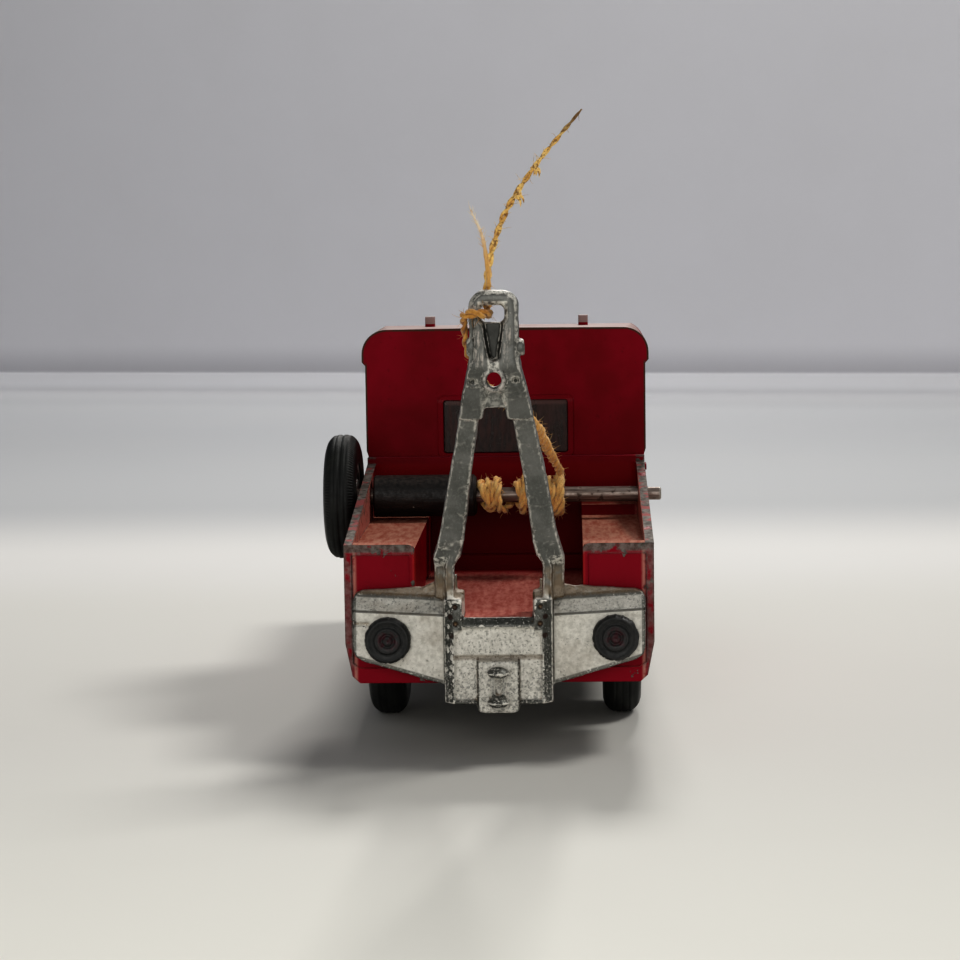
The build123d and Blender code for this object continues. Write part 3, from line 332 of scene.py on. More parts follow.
def bare_metal(s, floor_dust):
    """Paint the metal that shows on rims, worn edges and in chips; returns where that is."""
    tail = s.band(s.y, 1.4, 1.0)
    rim_top = s.both(s.up, s.behind_cab, s.band(s.from_rim, -0.5, -0.25),
                     s.either(s.band(s.side, 17.15, 17.35), s.band(s.y, 1.15, 0.95)))
    rubbed = s.both(rim_top, s.patches(2.6, 0.32, 0.42))
    near_rim = s.both(s.behind_cab, s.band(s.from_rim, -2.6, -0.2))
    outside = s.either(tail, s.band(s.side, 17.2, 17.35))
    chip_noise = s.noise(1.5, detail=5, rough=0.6, offset=7.0)
    chips = s.both(outside, s.band(s.add(chip_noise, s.both(near_rim, 0.12)), 0.655, 0.675))
    ragged = s.add(s.both(s.edges(0.45), 0.35), s.noise(1.1, detail=5, offset=3.0))
    at_rim = s.either(s.band(s.from_rim, -1.6, -0.8), s.band(s.side, 17.0, 17.2))
    worn_edge = s.both(s.band(ragged, 0.60, 0.70), outside, at_rim)
    tail_rim = s.both(tail, s.band(s.from_rim, -1.15, -0.75), s.patches(1.9, 0.36, 0.46, offset=25.0), 0.9)
    bare = s.either(rubbed, s.both(s.either(chips, worn_edge, tail_rim), s.behind_cab))
    bare = s.both(bare, s.band(floor_dust, 0.6, 0.2))
    wall_end = s.both(s.band(s.side, 16.95, 17.1), s.band(s.y, 0.35, 0.15), s.band(s.z, 8.0, 12.0),
                      s.patches(1.4, 0.34, 0.52, offset=17.0), 0.60)
    bare = s.either(bare, wall_end)
    metal = s.mix(s.band(s.grain, 0.35, 0.65), (0.105, 0.092, 0.080), (0.26, 0.235, 0.215))
    red_rest = s.both(rim_top, s.patches(1.8, 0.5, 0.6, detail=4, offset=11.0))
    s.paint(s.mix(red_rest, metal, (0.34, 0.12, 0.115)), bare)
    return bare


def red_enamel():
    """Crimson enamel: faded and dusty where it faces up in the bed, worn to metal on its rims."""
    s = Surface("red_enamel")
    s.cloud = s.noise(9.0, detail=3)
    s.grain = s.noise(0.8, detail=6, rough=0.65)
    s.side = s.size(s.x)
    s.up = s.band(s.normal_z, 0.5, 0.85)
    s.behind_cab = s.band(s.y, 37.6, 37.0)
    s.on_cab = s.band(s.y, 37.6, 38.0)
    s.bed = s.both(s.behind_cab, s.band(s.side, 17.45, 17.25), s.band(s.z, 31.0, 29.5))
    s.from_rim = s.minus(s.z, s.add(s.both(s.y, 0.165), 25.05))
    s.mottle(s.cloud, (0.205, 0.0006, 0.0090), (0.270, 0.0010, 0.0165))
    s.paint((0.10, 0.0008, 0.003), s.band(s.grain, 0.60, 0.72), 0.35)
    s.paint((0.10, 0.0004, 0.001), s.band(s.z, 44.5, 35.0), 0.28)
    # the tail panels keep a livelier red
    s.paint((0.34, 0.012, 0.032), s.band(s.y, 1.5, 0.8), s.band(s.z, 26.0, 25.0), 0.5)
    floor_dust = bed_dust(s)
    bed_walls(s)
    cab_marks(s)
    bare = bare_metal(s, floor_dust)
    cab_outline(s)
    rough = s.band(s.either(floor_dust, s.both(bare, 0.7)), 0.0, 1.0, to=(0.42, 0.82))
    fine = s.noise(0.28, detail=3)
    height = s.add(s.both(fine, 0.25), s.both(bare, -0.7), s.both(floor_dust, s.grain))
    return s.done(rough, height, depth=0.06, soft_edge=0.22, Specular_IOR_Level=0.08,
                  Metallic=s.both(bare, 0.45))


# ---------------------------------------------------------------- silver jib casting
def plate_silver(s):
    """Where the plate has silver: dark specks crowd towards its edges and foot, painted shade takes it out of
    the crease, and a painted highlight runs just below the crease.
    """
    crackle = s.noise(0.42, detail=8, rough=0.72, offset=12.0)
    leaning = s.both(s.band(s.above_crease, -0.05, 0.15), s.beyond_box, s.on_plate)
    crowd = s.add(s.both(leaning, 0.060), s.both(s.band(s.z, 12.2, 8.5), 0.035), s.both(s.crest, 0.05),
                  s.both(s.behind, s.on_plate, 0.046),
                  s.both(s.patches(2.4, 0.45, 0.70, detail=3, offset=15.0), 0.03))
    peppered = s.either(s.band(s.add(s.speck, crowd), 0.615, 0.665),
                        s.band(s.add(crackle, crowd), 0.640, 0.670))
    # painted shade: the silver is taken out of the crease
    silver = s.rest(s.either(s.both(peppered, 0.72), s.both(s.crease, 0.75)))
    # painted highlight just below the crease
    crease_highlight = s.both(s.beyond_box, s.near(s.above_crease, -0.42, 0.22, 0.08))
    return s.either(s.both(silver, s.rest(s.both(leaning, 0.30))), s.both(crease_highlight, 0.95))


def wing_hem(s):
    """The wings' outline: their sloping foot, their ends and the top of the leaning band."""
    slope = s.minus(s.z, s.add(s.both(s.side, 0.296), 6.735))
    line = s.either(s.band(slope, 0.62, 0.42), s.band(s.side, 16.78, 16.92),
                    s.within(s.above_crease, 1.50, 1.70, 2.10, 2.30))
    return s.both(line, s.beyond_box, s.band(s.grain, 0.68, 0.56))


def worn_plate(s, silver):
    """Bare dark strips of the plate, and its silver with the strips taken out."""
    bevels = s.either(s.both(s.behind, s.band(s.side, 5.12, 5.22)), s.within(s.side, 5.9, 6.0, 6.45, 6.6))
    posts = s.both(s.behind, s.band(s.z, 15.4, 15.8), s.band(s.side, 4.15, 4.3))
    lip = s.both(s.behind, s.band(s.z, 15.95, 16.12), s.band(s.side, 4.45, 4.25))
    ears = s.both(s.band(s.y, -6.45, -6.6), s.band(s.z, 12.2, 12.0))
    on_box = s.either(bevels, posts, lip, ears)
    box_hem = s.both(s.behind, s.band(s.z, 7.6, 7.25), s.band(s.side, 2.3, 2.6))
    wing_edge = s.both(s.outboard, s.band(s.add(s.both(s.crest, 0.32), s.both(s.grain, 0.5)), 0.42, 0.50))
    bare = s.both(s.either(on_box, wing_edge, box_hem, s.both(wing_hem(s), 0.85)), s.on_plate)
    box_edge = s.both(s.near(s.side, 6.32, 0.16, 0.06), s.band(s.y, -2.8, -3.0), s.band(s.speck, 0.40, 0.52))
    ridge = s.either(s.both(on_box, s.band(s.add(s.both(s.crest, 0.30), s.grain), 0.66, 0.76)), box_edge)
    spots = s.band(s.add(s.speck, s.both(s.band(s.z, 14.5, 9.0), 0.045)), 0.585, 0.625)
    return bare, s.either(s.both(silver, s.rest(bare)), ridge, s.both(bare, spots))


def leg_silver(s):
    """Where legs and sockets keep paint in lengthwise scratches, and their rounded edges, whose silver is
    partly a painted highlight.
    """
    foot = s.band(s.z, 27.0, 22.5)
    elbow = s.within(s.z, 21.5, 23.5, 26.5, 29.0)
    facing = s.either(s.size(s.normal_x), s.size(s.normal_y))
    # rounded edges: silver kept on them, and a painted highlight
    edge = s.both(s.band(facing, 0.90, 0.80),
                  s.band(s.add(s.both(s.grain, 0.6), s.both(s.scratches, 0.4)), 0.42, 0.54),
                  s.band(s.z, 28.0, 26.0, to=(0.72, 0.92)))
    field = s.add(s.both(s.scratches, 0.62), s.both(s.grain, 0.38), s.both(s.crest, 0.10),
                  s.both(s.either(foot, elbow), 0.075), s.both(s.band(s.normal_x, 0.15, 0.6), 0.05))
    return s.either(s.both(s.band(field, 0.62, 0.76), 0.7), edge)


def head_silver(s, reach, ribs):
    """Where the head keeps paint: ribs, the hole's rim, the spot above it, the web and the loop."""
    rib_paint = s.both(ribs, s.band(s.add(s.both(s.scratches, 0.7), s.both(s.grain, 0.3)), 0.48, 0.68))
    hole = s.distance((0.25, 0, 45.5), "XZ")
    rim = s.both(s.band(hole, 1.50, 1.25), s.band(s.y, -15.1, -15.3))
    spot = s.both(s.band(reach, 0.75, 0.5), s.within(s.z, 46.2, 46.4, 47.8, 48.3), s.rearward)
    web = s.both(s.band(reach, 1.7, 1.4), s.within(s.z, 41.9, 42.2, 44.4, 44.8), s.rearward)
    trim = s.either(s.both(rim, 0.55), s.both(spot, 0.8), s.both(web, 0.35))
    slot_in = s.both(s.band(reach, 1.75, 1.55), s.within(s.z, 51.6, 51.9, 54.2, 54.4))
    loop = s.either(s.both(s.band(s.add(s.both(s.crest, 0.22), s.grain), 0.60, 0.76), 0.55),
                    s.both(slot_in, s.band(s.grain, 0.40, 0.52)))
    return s.either(rib_paint, s.both(trim, s.band(s.grain, 0.40, 0.56)),
                    s.both(s.band(s.z, 51.9, 52.9), loop))


def post_dots(s):
    """Four dark spots down each post of the box."""
    dots = []
    for dot_x, dot_z in ((5.0, 18.4), (5.55, 17.2), (4.95, 16.4), (5.5, 15.0)):
        away = s.length(s.minus(s.side, dot_x), s.minus(s.z, dot_z))
        dots.append(s.band(s.add(away, s.both(s.grain, 0.3)), 0.52, 0.42))
    s.paint((0.042, 0.020, 0.015), s.either(*dots), s.behind, s.band(s.cloud, 0.3, 0.6, to=(0.5, 0.9)))


def jib_dirt(s):
    """Tan dirt beside the legs' feet, on the wings, in the box's groove and in corners."""
    beside_leg = s.both(s.within(s.z, 19.3, 19.9, 21.8, 23.8), s.band(s.side, 14.5, 8.0),
                        s.band(s.side, 4.6, 6.0), s.patches(1.1, 0.36, 0.58, offset=27.0, to=(0.15, 0.92)))
    groove = s.both(s.behind, s.near(s.z, 12.4, 0.45, 0.15), s.band(s.side, 5.4, 5.2), 0.6)
    corners = s.both(s.on_plate, s.hollow, s.band(s.grain, 0.4, 0.6))
    stain = s.both(s.patches(5.0, 0.52, 0.70, offset=9.0), s.outboard, s.band(s.side, 5.5, 7.0), 0.30)
    wing_top = s.both(s.band(s.above_crease, 1.7, 2.1), s.outboard, s.band(s.z, 21.6, 20.9),
                      s.band(s.grain, 0.30, 0.55, to=(0.45, 0.95)))
    tan = s.mix(s.band(s.z, 19.0, 20.0), (0.185, 0.125, 0.070), (0.235, 0.170, 0.108))
    s.paint(tan, s.either(beside_leg, groove, corners, stain, wing_top), 0.80)


def silvered_zinc():
    """Silver paint on a zinc casting: whole on the plate, mostly rubbed off the legs and head."""
    s = Surface("silvered_zinc")
    s.grain = s.noise(0.55, detail=7, rough=0.68)
    s.speck = s.noise(0.30, detail=6, rough=0.75, offset=5.0)
    s.cloud = s.noise(3.2, detail=4)
    s.scratches = s.noise(0.55, detail=6, rough=0.65, stretch=(0.45, 0.45, 3.2), offset=2.0)
    s.crest = s.crests(0.515, 0.555)
    s.hollow = s.crests(0.49, 0.44)
    s.side = s.size(s.x)
    s.rearward = s.band(s.normal_y, -0.35, -0.75)
    s.on_plate = s.band(s.z, 20.6, 19.9)
    s.behind = s.band(s.y, -4.55, -4.75)      # the box stands out to the rear,
    s.outboard = s.band(s.y, -4.3, -4.1)      # the wings don't
    s.beyond_box = s.both(s.band(s.side, 6.4, 6.7), s.outboard)
    s.above_crease = s.minus(s.z, s.add(s.both(s.minus(s.side, 6.35), 0.055), 16.95))
    # the crease between the leaning band and the wing, where painted shade lies
    s.crease = s.both(s.beyond_box, s.band(s.size(s.above_crease), 0.20, 0.08))
    reach = s.size(s.minus(s.x, 0.2))
    ribs = s.both(s.within(reach, 1.0, 1.2, 1.95, 2.15), s.within(s.z, 46.6, 47.4, 51.2, 52.2), s.rearward)
    bare, plate = worn_plate(s, plate_silver(s))

    s.mottle(s.cloud, (0.148, 0.150, 0.138), (0.215, 0.215, 0.202))
    s.paint((0.27, 0.275, 0.262), s.band(s.speck, 0.50, 0.66), 0.50)
    s.paint((0.29, 0.29, 0.275), s.band(s.scratches, 0.52, 0.66), 0.35)
    s.paint((0.04, 0.04, 0.038), s.band(s.z, 40.0, 42.0), 0.22)
    s.paint((0.030, 0.030, 0.026), s.hollow, 0.75)
    s.paint((0.040, 0.040, 0.036), s.band(reach, 1.15, 0.85), s.within(s.z, 47.6, 48.2, 52.0, 52.6), 0.8)
    s.paint((0.042, 0.044, 0.034), bare, s.band(s.grain, 0.35, 0.55, to=(0.25, 0.65)))
    silver = s.mix(s.band(s.grain, 0.3, 0.7), (0.55, 0.53, 0.475), (0.80, 0.775, 0.71))
    above_plate = s.both(s.rest(s.on_plate), s.either(leg_silver(s), head_silver(s, reach, ribs)))
    painted = s.either(s.both(s.on_plate, plate), above_plate)
    s.paint(silver, painted)
    s.paint((0.40, 0.32, 0.29), s.either(ribs, s.both(s.band(s.z, 24.0, 30.0), s.crest)), painted, 0.55)
    hitch_line = s.both(s.behind, s.near(s.side, 2.42, 0.20, 0.08), s.band(s.z, 12.5, 12.2),
                        s.band(s.speck, 0.40, 0.50))
    # dark seams beside the hitch, and painted shade in the crease
    s.paint((0.040, 0.036, 0.028), s.either(hitch_line, s.both(s.crease, 0.8)),
            s.band(s.grain, 0.3, 0.5, to=(0.6, 0.95)))
    post_dots(s)
    jib_dirt(s)
    rough = s.band(painted, 0.0, 1.0, to=(0.44, 0.55))
    height = s.add(s.both(painted, 0.45), s.both(s.grain, 0.45), s.both(s.speck, 0.35))
    return s.done(rough, height, depth=0.06, Metallic=s.band(painted, 0.0, 1.0, to=(0.55, 0.15)))


# ---------------------------------------------------------------- other materials
def rubber(name, centre):
    """Aged black rubber with dust in its grooves; centre is the wheel's middle."""
    s = Surface(name)
    grain = s.noise(0.5, detail=6, rough=0.65)
    cloud = s.noise(3.5, detail=4, offset=centre[0])
    s.mottle(cloud, (0.0050, 0.0056, 0.0050), (0.0115, 0.0125, 0.0105))
    s.paint((0.060, 0.055, 0.045), s.band(grain, 0.50, 0.72), s.band(cloud, 0.45, 0.70), 0.45)
    tread = s.band(s.distance(centre), 6.5, 8.0)
    rough = s.band(s.add(s.both(grain, 0.5), s.both(tread, 0.3)), 0.15, 0.75, to=(0.38, 0.72))
    return s.done(rough, s.add(grain, s.noise(0.18, detail=2)), depth=0.03)


def turned_metal(name, centre):
    """Lathe-turned hub metal with rings round its axis and dull spots."""
    s = Surface(name)
    tone = (0.55, 0.54, 0.51)
    rings = s.node("ShaderNodeTexNoise", noise_dimensions="1D")
    s.feed(rings.inputs["W"], s.distance(centre))
    s.feed(rings.inputs["Scale"], 9.0)
    s.feed(rings.inputs["Detail"], 4.0)
    tarnish = s.patches(1.4, 0.42, 0.68)
    s.colour = tone
    s.paint(tuple(c * 0.32 for c in tone), tarnish, 0.8)
    s.paint(tuple(min(1.0, c * 1.3) for c in tone), s.edges(0.3), 0.5)
    rough = s.band(tarnish, 0.0, 1.0, to=(0.28, 0.62))
    height = s.add(rings.outputs["Fac"], s.both(s.noise(0.3, detail=3), 0.4))
    return s.done(rough, height, depth=0.025, soft_edge=0.12, Metallic=0.9)


def drawn_steel():
    """Winch rod: brownish drawn wire with lengthwise marks, brighter at its cut end."""
    s = Surface("drawn_steel")
    marks = s.noise(0.5, detail=5, stretch=(12, 0.6, 0.6))
    spots = s.noise(0.9, detail=5, offset=4.0)
    s.mottle(marks, (0.190, 0.148, 0.125), (0.38, 0.325, 0.290))
    s.paint((0.055, 0.036, 0.025), s.band(spots, 0.58, 0.66), 0.7)
    s.paint((0.40, 0.37, 0.33), s.band(s.x, 19.9, 20.2))
    rough = s.band(spots, 0.3, 0.7, to=(0.38, 0.62))
    return s.done(rough, s.add(marks, spots), depth=0.03, soft_edge=0.1, Metallic=0.75)


def black_sleeve():
    """Satin black sleeve: a painted highlight along its top, scuffed lengthwise, a few nicks."""
    s = Surface("black_sleeve")
    scuffs = s.noise(0.7, detail=6, stretch=(5, 0.7, 0.7))
    grain = s.noise(0.45, detail=6, rough=0.7)
    s.mottle(scuffs, (0.0060, 0.0042, 0.0036), (0.017, 0.0125, 0.0105), 0.42, 0.68)
    # painted highlight along the top of the sleeve
    s.paint((0.048, 0.037, 0.030), s.band(s.z, 28.6, 30.2), s.band(grain, 0.35, 0.65))
    s.paint((0.33, 0.30, 0.26), s.patches(1.0, 0.74, 0.76, offset=6.0))
    rough = s.band(grain, 0.3, 0.7, to=(0.42, 0.66))
    return s.done(rough, s.add(scuffs, grain), depth=0.04, soft_edge=0.15)


def tail_lamp_plastic(name, centre):
    """Grimy dark lamp: grey-black skin with rings, dull red showing near the middle."""
    s = Surface(name)
    out = s.distance(centre, "XZ")
    grain = s.noise(0.4, detail=6, rough=0.7)
    ripple = s.math("SINE", s.both(s.add(out, s.both(grain, 0.3)), 13.0), 0.0)
    s.mottle(grain, (0.013, 0.014, 0.014), (0.034, 0.034, 0.033))
    s.paint((0.060, 0.058, 0.056), s.band(ripple, 0.2, 1.0), 0.35)
    s.paint((0.060, 0.0055, 0.012), s.band(s.add(out, s.both(grain, 1.6)), 2.3, 1.5),
            s.patches(0.9, 0.42, 0.60, detail=4, offset=1.0), 0.8)
    rough = s.band(grain, 0.3, 0.7, to=(0.36, 0.60))
    return s.done(rough, s.add(s.both(ripple, 0.4), grain), depth=0.06)


def yarn_fibre():
    """Golden yarn: browner up to the jib's head, lifted by painted light where it runs low over the bed and
    round the winch, paler and speckled towards its free end.
    """
    s = Surface("yarn_fibre")
    strands = s.noise(0.22, detail=5, rough=0.7)
    tint = s.noise(1.3, detail=4, offset=8.0)
    patchy = s.band(tint, 0.38, 0.62)
    low = s.mix(patchy, (0.40, 0.170, 0.036), (0.64, 0.35, 0.085))
    high = s.mix(patchy, (0.74, 0.44, 0.12), (0.95, 0.68, 0.26))
    s.mottle(s.z, low, high, 53.5, 56.5)
    # painted light on the cord where it runs low, over the bed and round the winch
    s.paint((1.0, 0.62, 0.22), s.band(s.z, 46.0, 40.0), 0.80)
    s.paint((0.70, 0.48, 0.19), s.band(s.z, 31.8, 30.8),
            s.patches(2.2, 0.40, 0.58, detail=4, offset=31.0), 0.75)
    s.paint((0.23, 0.085, 0.018), s.band(strands, 0.52, 0.68), 0.55)
    s.paint((0.20, 0.075, 0.018), s.band(s.z, 58.0, 61.0), s.patches(0.4, 0.50, 0.58, offset=2.0), 0.75)
    s.paint((0.14, 0.075, 0.035), s.band(s.add(s.z, s.both(tint, 2.0)), 73.2, 75.4), 0.8)
    return s.done(0.82, strands, depth=0.06, Sheen_Weight=0.35, Sheen_Roughness=0.5)


def pale_fibre():
    """The frayed side strand: cream, almost white at its fluffy end."""
    s = Surface("pale_fibre")
    tint = s.noise(0.4, detail=4)
    s.mottle(s.z, (0.72, 0.42, 0.14), (0.86, 0.74, 0.58), 58.0, 64.0)
    s.paint((0.45, 0.22, 0.07), s.band(tint, 0.5, 0.7), 0.4)
    return s.done(0.85, tint, depth=0.05, Sheen_Weight=0.4, Sheen_Roughness=0.5)


def smoked_pane():
    """Smoked clear moulding, scuffed, with a painted highlight along its top edge."""
    s = Surface("smoked_pane")
    scuffs = s.noise(1.1, detail=6, stretch=(0.5, 1, 2.8))
    grain = s.noise(0.35, detail=5, rough=0.7)
    s.mottle(scuffs, (0.026, 0.0095, 0.0075), (0.080, 0.036, 0.030), 0.38, 0.66)
    # painted highlight along the top edge of the rear pane
    s.paint((0.22, 0.11, 0.10), s.band(s.z, 38.35, 38.75), s.band(s.y, 40.0, 39.0), 0.5)
    rough = s.band(s.add(s.both(scuffs, 0.6), s.both(grain, 0.4)), 0.35, 0.65, to=(0.24, 0.52))
    return s.done(rough, grain, depth=0.012, Transmission_Weight=0.25, IOR=1.49, Specular_IOR_Level=0.25)


def pressed_tin():
    """Base plate and bumper: dull sheet with rolled marks, rubbed edges and some rust."""
    s = Surface("pressed_tin")
    rolled = s.noise(1.0, detail=5, stretch=(0.7, 7, 1))
    grain = s.noise(0.6, detail=6, rough=0.65)
    rust = s.patches(4.0, 0.57, 0.70, detail=6, rough=0.65, offset=3.0)
    s.mottle(rolled, (0.22, 0.215, 0.20), (0.36, 0.35, 0.33))
    s.paint((0.15, 0.068, 0.030), rust, 0.8)
    s.paint((0.58, 0.57, 0.54), s.edges(0.3), 0.6)
    rough = s.band(s.either(rust, s.both(grain, 0.5)), 0.2, 1.0, to=(0.36, 0.8))
    height = s.add(s.both(rust, 0.6), grain)
    return s.done(rough, height, depth=0.04, soft_edge=0.2, Metallic=s.band(rust, 0.0, 1.0, to=(0.8, 0.1)))


def bright_steel():
    """Axles and rivets: bright steel with a hammered, spotted surface."""
    s = Surface("riveted_steel")
    grain = s.noise(0.5, detail=6, rough=0.65)
    spots = s.patches(1.2, 0.50, 0.66, offset=5.0)
    s.colour = (0.56, 0.55, 0.52)
    s.paint((0.17, 0.14, 0.115), spots, 0.8)
    rough = s.band(spots, 0.0, 1.0, to=(0.30, 0.60))
    return s.done(rough, grain, depth=0.05, soft_edge=0.12, Metallic=0.85)


def aged_plastic(name, tone):
    """Moulded plastic, a little yellowed and dusty."""
    s = Surface(name)
    grain = s.noise(0.5, detail=6, rough=0.65)
    s.mottle(s.noise(4.0, detail=4), tuple(c * 0.82 for c in tone), tone)
    s.paint(tuple(c * 0.5 for c in tone), s.band(grain, 0.52, 0.72), 0.35)
    s.paint(tuple(min(1.0, c * 1.25 + 0.01) for c in tone), s.edges(0.35), 0.35)
    return s.done(s.band(grain, 0.3, 0.7, to=(0.42, 0.62)), grain, depth=0.03, soft_edge=0.15)


def headlamp_plastic(name, centre):
    """Clear lamp with a faceted lens inside a plated rim."""
    s = Surface(name)
    grain = s.noise(0.5, detail=5)
    flutes = s.math("SINE", s.both(s.x, 9.0), 0.0)
    lens = s.band(s.distance(centre, "XZ"), 2.15, 2.05)
    s.colour = s.mix(lens, (0.60, 0.59, 0.56), (0.74, 0.73, 0.68))
    s.paint((0.20, 0.17, 0.13), s.band(grain, 0.52, 0.70), 0.45)
    s.paint((0.36, 0.35, 0.33), lens, s.band(flutes, 0.2, 1.0), 0.35)
    rough = s.band(grain, 0.3, 0.7, to=(0.16, 0.42))
    height = s.add(s.both(lens, flutes, 0.5), s.both(grain, 0.3))
    return s.done(rough, height, depth=0.08, soft_edge=0.15, Metallic=s.both(s.rest(lens), 0.8))


def silver_grille(middle_y):
    """Silver-painted grille insert: dark panel inside its rubbed bright rim."""
    s = Surface("silver_grille")
    grain = s.noise(0.5, detail=6, rough=0.65)
    s.mottle(grain, (0.34, 0.335, 0.31), (0.58, 0.57, 0.53))
    s.paint((0.022, 0.018, 0.016), s.band(s.y, middle_y + 0.20, middle_y + 0.08), 0.85)
    s.paint((0.70, 0.69, 0.65), s.edges(0.25), 0.45)
    return s.done(s.band(grain, 0.3, 0.7, to=(0.32, 0.56)), grain, depth=0.04, soft_edge=0.15, Metallic=0.4)


# ---------------------------------------------------------------- mesh helpers
def transported_frames(path):
    """For each point of a path: its direction and two steady directions square to it."""
    frames = []
    across = None
    for i in range(len(path)):
        along = (path[min(i + 1, len(path) - 1)] - path[max(i - 1, 0)]).normalized()
        if across is None:
            across = along.orthogonal().normalized()
        across = (across - along * across.dot(along)).normalized()
        frames.append((along, across, along.cross(across)))
    return frames


def add_tube(verts, faces, centres, radii, sides, ragged=0.0, seed=0.0):
    """Closed tube through the centres; ragged roughens its skin like bundled fibre."""
    first = len(verts)
    for (_, across, third), centre, radius in zip(transported_frames(centres), centres, radii):
        for k in range(sides):
            angle = 2 * math.pi * k / sides
            out = across * math.cos(angle) + third * math.sin(angle)
            if ragged:
                bump = noise.noise(Vector((angle * 1.7 + seed, centre.x * 1.3, centre.z * 1.3 + centre.y)))
                verts.append(centre + out * radius * (1 + ragged * bump))
            else:
                verts.append(centre + out * radius)
    rings = len(centres)
    for i in range(rings - 1):
        for k in range(sides):
            a, b = first + i * sides + k, first + i * sides + (k + 1) % sides
            faces.append((a, b, b + sides, a + sides))
    faces.append(tuple(first + k for k in reversed(range(sides))))
    faces.append(tuple(first + (rings - 1) * sides + k for k in range(sides)))


def nurbs_points(name, route, resolution):
    """Evenly spread points along the smooth spline of a route, in millimetres."""
    curve = bpy.data.curves.new(name + "_route", "CURVE")
    curve.dimensions = "3D"
    spline = curve.splines.new("NURBS")
    spline.points.add(len(route) - 1)
    for point, place in zip(spline.points, route):
        point.co = (*place, 1)
    spline.order_u = 3
    spline.use_endpoint_u = True
    curve.resolution_u = resolution
    holder = bpy.data.objects.new(name + "_route", curve)
    mesh = bpy.data.meshes.new_from_object(holder)
    points = [v.co.copy() for v in mesh.vertices]
    bpy.data.meshes.remove(mesh)
    bpy.data.curves.remove(curve)
    return points


def length_of(points):
    return sum((b - a).length for a, b in zip(points[:-1], points[1:]))


def between(stations, share):
    """Straight-line value between (share, value) stations."""
    for (a, low), (b, high) in zip(stations[:-1], stations[1:]):
        if share <= b:
            return low + (high - low) * (share - a) / (b - a)
    return stations[-1][1]


def random_vector(rng, *ranges):
    return Vector([rng.uniform(low, high) for low, high in ranges])


def stray_hair(rng, root, frame, radius, hair_reach):
    """Points of one bent hair that leaves the yarn at the root."""
    along, across, third = frame
    angle = rng.uniform(0, 2 * math.pi)
    out = across * math.cos(angle) + third * math.sin(angle)
    reach = rng.uniform(0.35, 1.0) ** 2 * hair_reach
    lean = rng.choice((-1, 1)) * rng.uniform(0.4, 1.6)
    bend = random_vector(rng, (-1, 1), (-1, 1), (-1, 1)) * 0.35
    hair = []
    for t in (0, 0.25, 0.5, 0.75, 1.0):
        sideways = along * (lean * reach * t * (1 - 0.4 * t))
        hair.append(root + out * (radius * 0.75 + reach * t) + sideways + bend * reach * t * t)
    return hair


def yarn(name, path, thickness, pitch, hairs_per_mm, seed, fluff=lambda share: 1.0, hair_reach=1.15):
    """Two plies twisted round each other along a path, with stray hairs. thickness(share of the way)
    is the yarn's radius, fluff(share) the part of the hairs that is there, hair_reach their length."""
    rng = random.Random(seed)
    frames = transported_frames(path)
    total = length_of(path)
    verts, faces = [], []
    travelled = [0.0]
    for a, b in zip(path[:-1], path[1:]):
        travelled.append(travelled[-1] + (b - a).length)
    for ply in range(2):
        centres, radii = [], []
        for (_, across, third), point, gone in zip(frames, path, travelled):
            radius = thickness(gone / total)
            wander = 1 + 0.35 * noise.noise(Vector((gone * 0.6, ply * 7.3, seed)))
            angle = 2 * math.pi * (ply / 2 + gone / pitch) + 0.5 * wander
            offset = radius * 0.50 * wander
            centres.append(point + (across * math.cos(angle) + third * math.sin(angle)) * offset)
            uneven = noise.noise(Vector((gone * 1.4, ply * 3.1, seed + 4)))
            radii.append(radius * 0.56 * (0.92 + 0.3 * uneven))
        add_tube(verts, faces, centres, radii, 10, ragged=0.32, seed=seed + ply * 5.0)
    for _ in range(int(total * hairs_per_mm)):
        i = rng.randrange(2, len(path) - 2)
        share = travelled[i] / total
        if rng.random() > fluff(share):
            continue
        hair = stray_hair(rng, path[i], frames[i], thickness(share), hair_reach)
        add_tube(verts, faces, hair, [0.028, 0.026, 0.022, 0.016, 0.006], 3)
    return add_object(name, verts, faces)


def lathe(name, profile, segments, place):
    """Surface of revolution: profile gives (along, out) pairs round a closed loop, and
    place(along, out, angle) the point."""
    verts, faces = [], []
    count = len(profile)
    for step in range(segments):
        angle = 2 * math.pi * step / segments
        for along, out in profile:
            verts.append(place(along, out, angle))
    for step in range(segments):
        for k in range(count):
            a, b = step * count + k, step * count + (k + 1) % count
            c, d = (step + 1) % segments * count + (k + 1) % count, (step + 1) % segments * count + k
            faces.append((a, b, c, d))
    return add_object(name, verts, faces)


# ---------------------------------------------------------------- cord
ROD_Y, ROD_Z = 28.1, 27.6
cord_route = [
    (7.3, 27.0, 30.7), (6.15, 21.2, 33.4), (5.35, 15.0, 35.9), (4.4, 8.6, 38.55), (2.3, 2.2, 41.0),
    (-0.2, -3.8, 43.3), (-2.1, -8.8, 45.9), (-2.98, -11.9, 48.8), (-3.02, -13.3, 51.2),
    (-3.1, -15.1, 52.6), (-2.75, -16.45, 52.95), (-1.7, -16.75, 53.0), (-0.6, -16.15, 52.9),
    (-0.3, -14.5, 52.85), (-0.35, -12.7, 53.1), (-0.55, -11.9, 54.5), (-0.5, -12.0, 56.6),
    (-0.1, -12.3, 59.2), (0.75, -12.6, 61.9), (1.85, -12.8, 64.5), (3.5, -12.9, 67.0),
    (5.6, -13.0, 69.9), (7.8, -13.1, 72.4), (10.3, -13.2, 75.3),
]
# where the strand has come away from the twist, above the jib's head
fray_route = [(-0.25, -12.5, 55.8), (-0.35, -12.6, 57.6), (-0.55, -12.6, 59.6), (-0.85, -12.6, 61.3),
              (-1.5, -12.6, 63.0), (-2.2, -12.6, 64.4)]
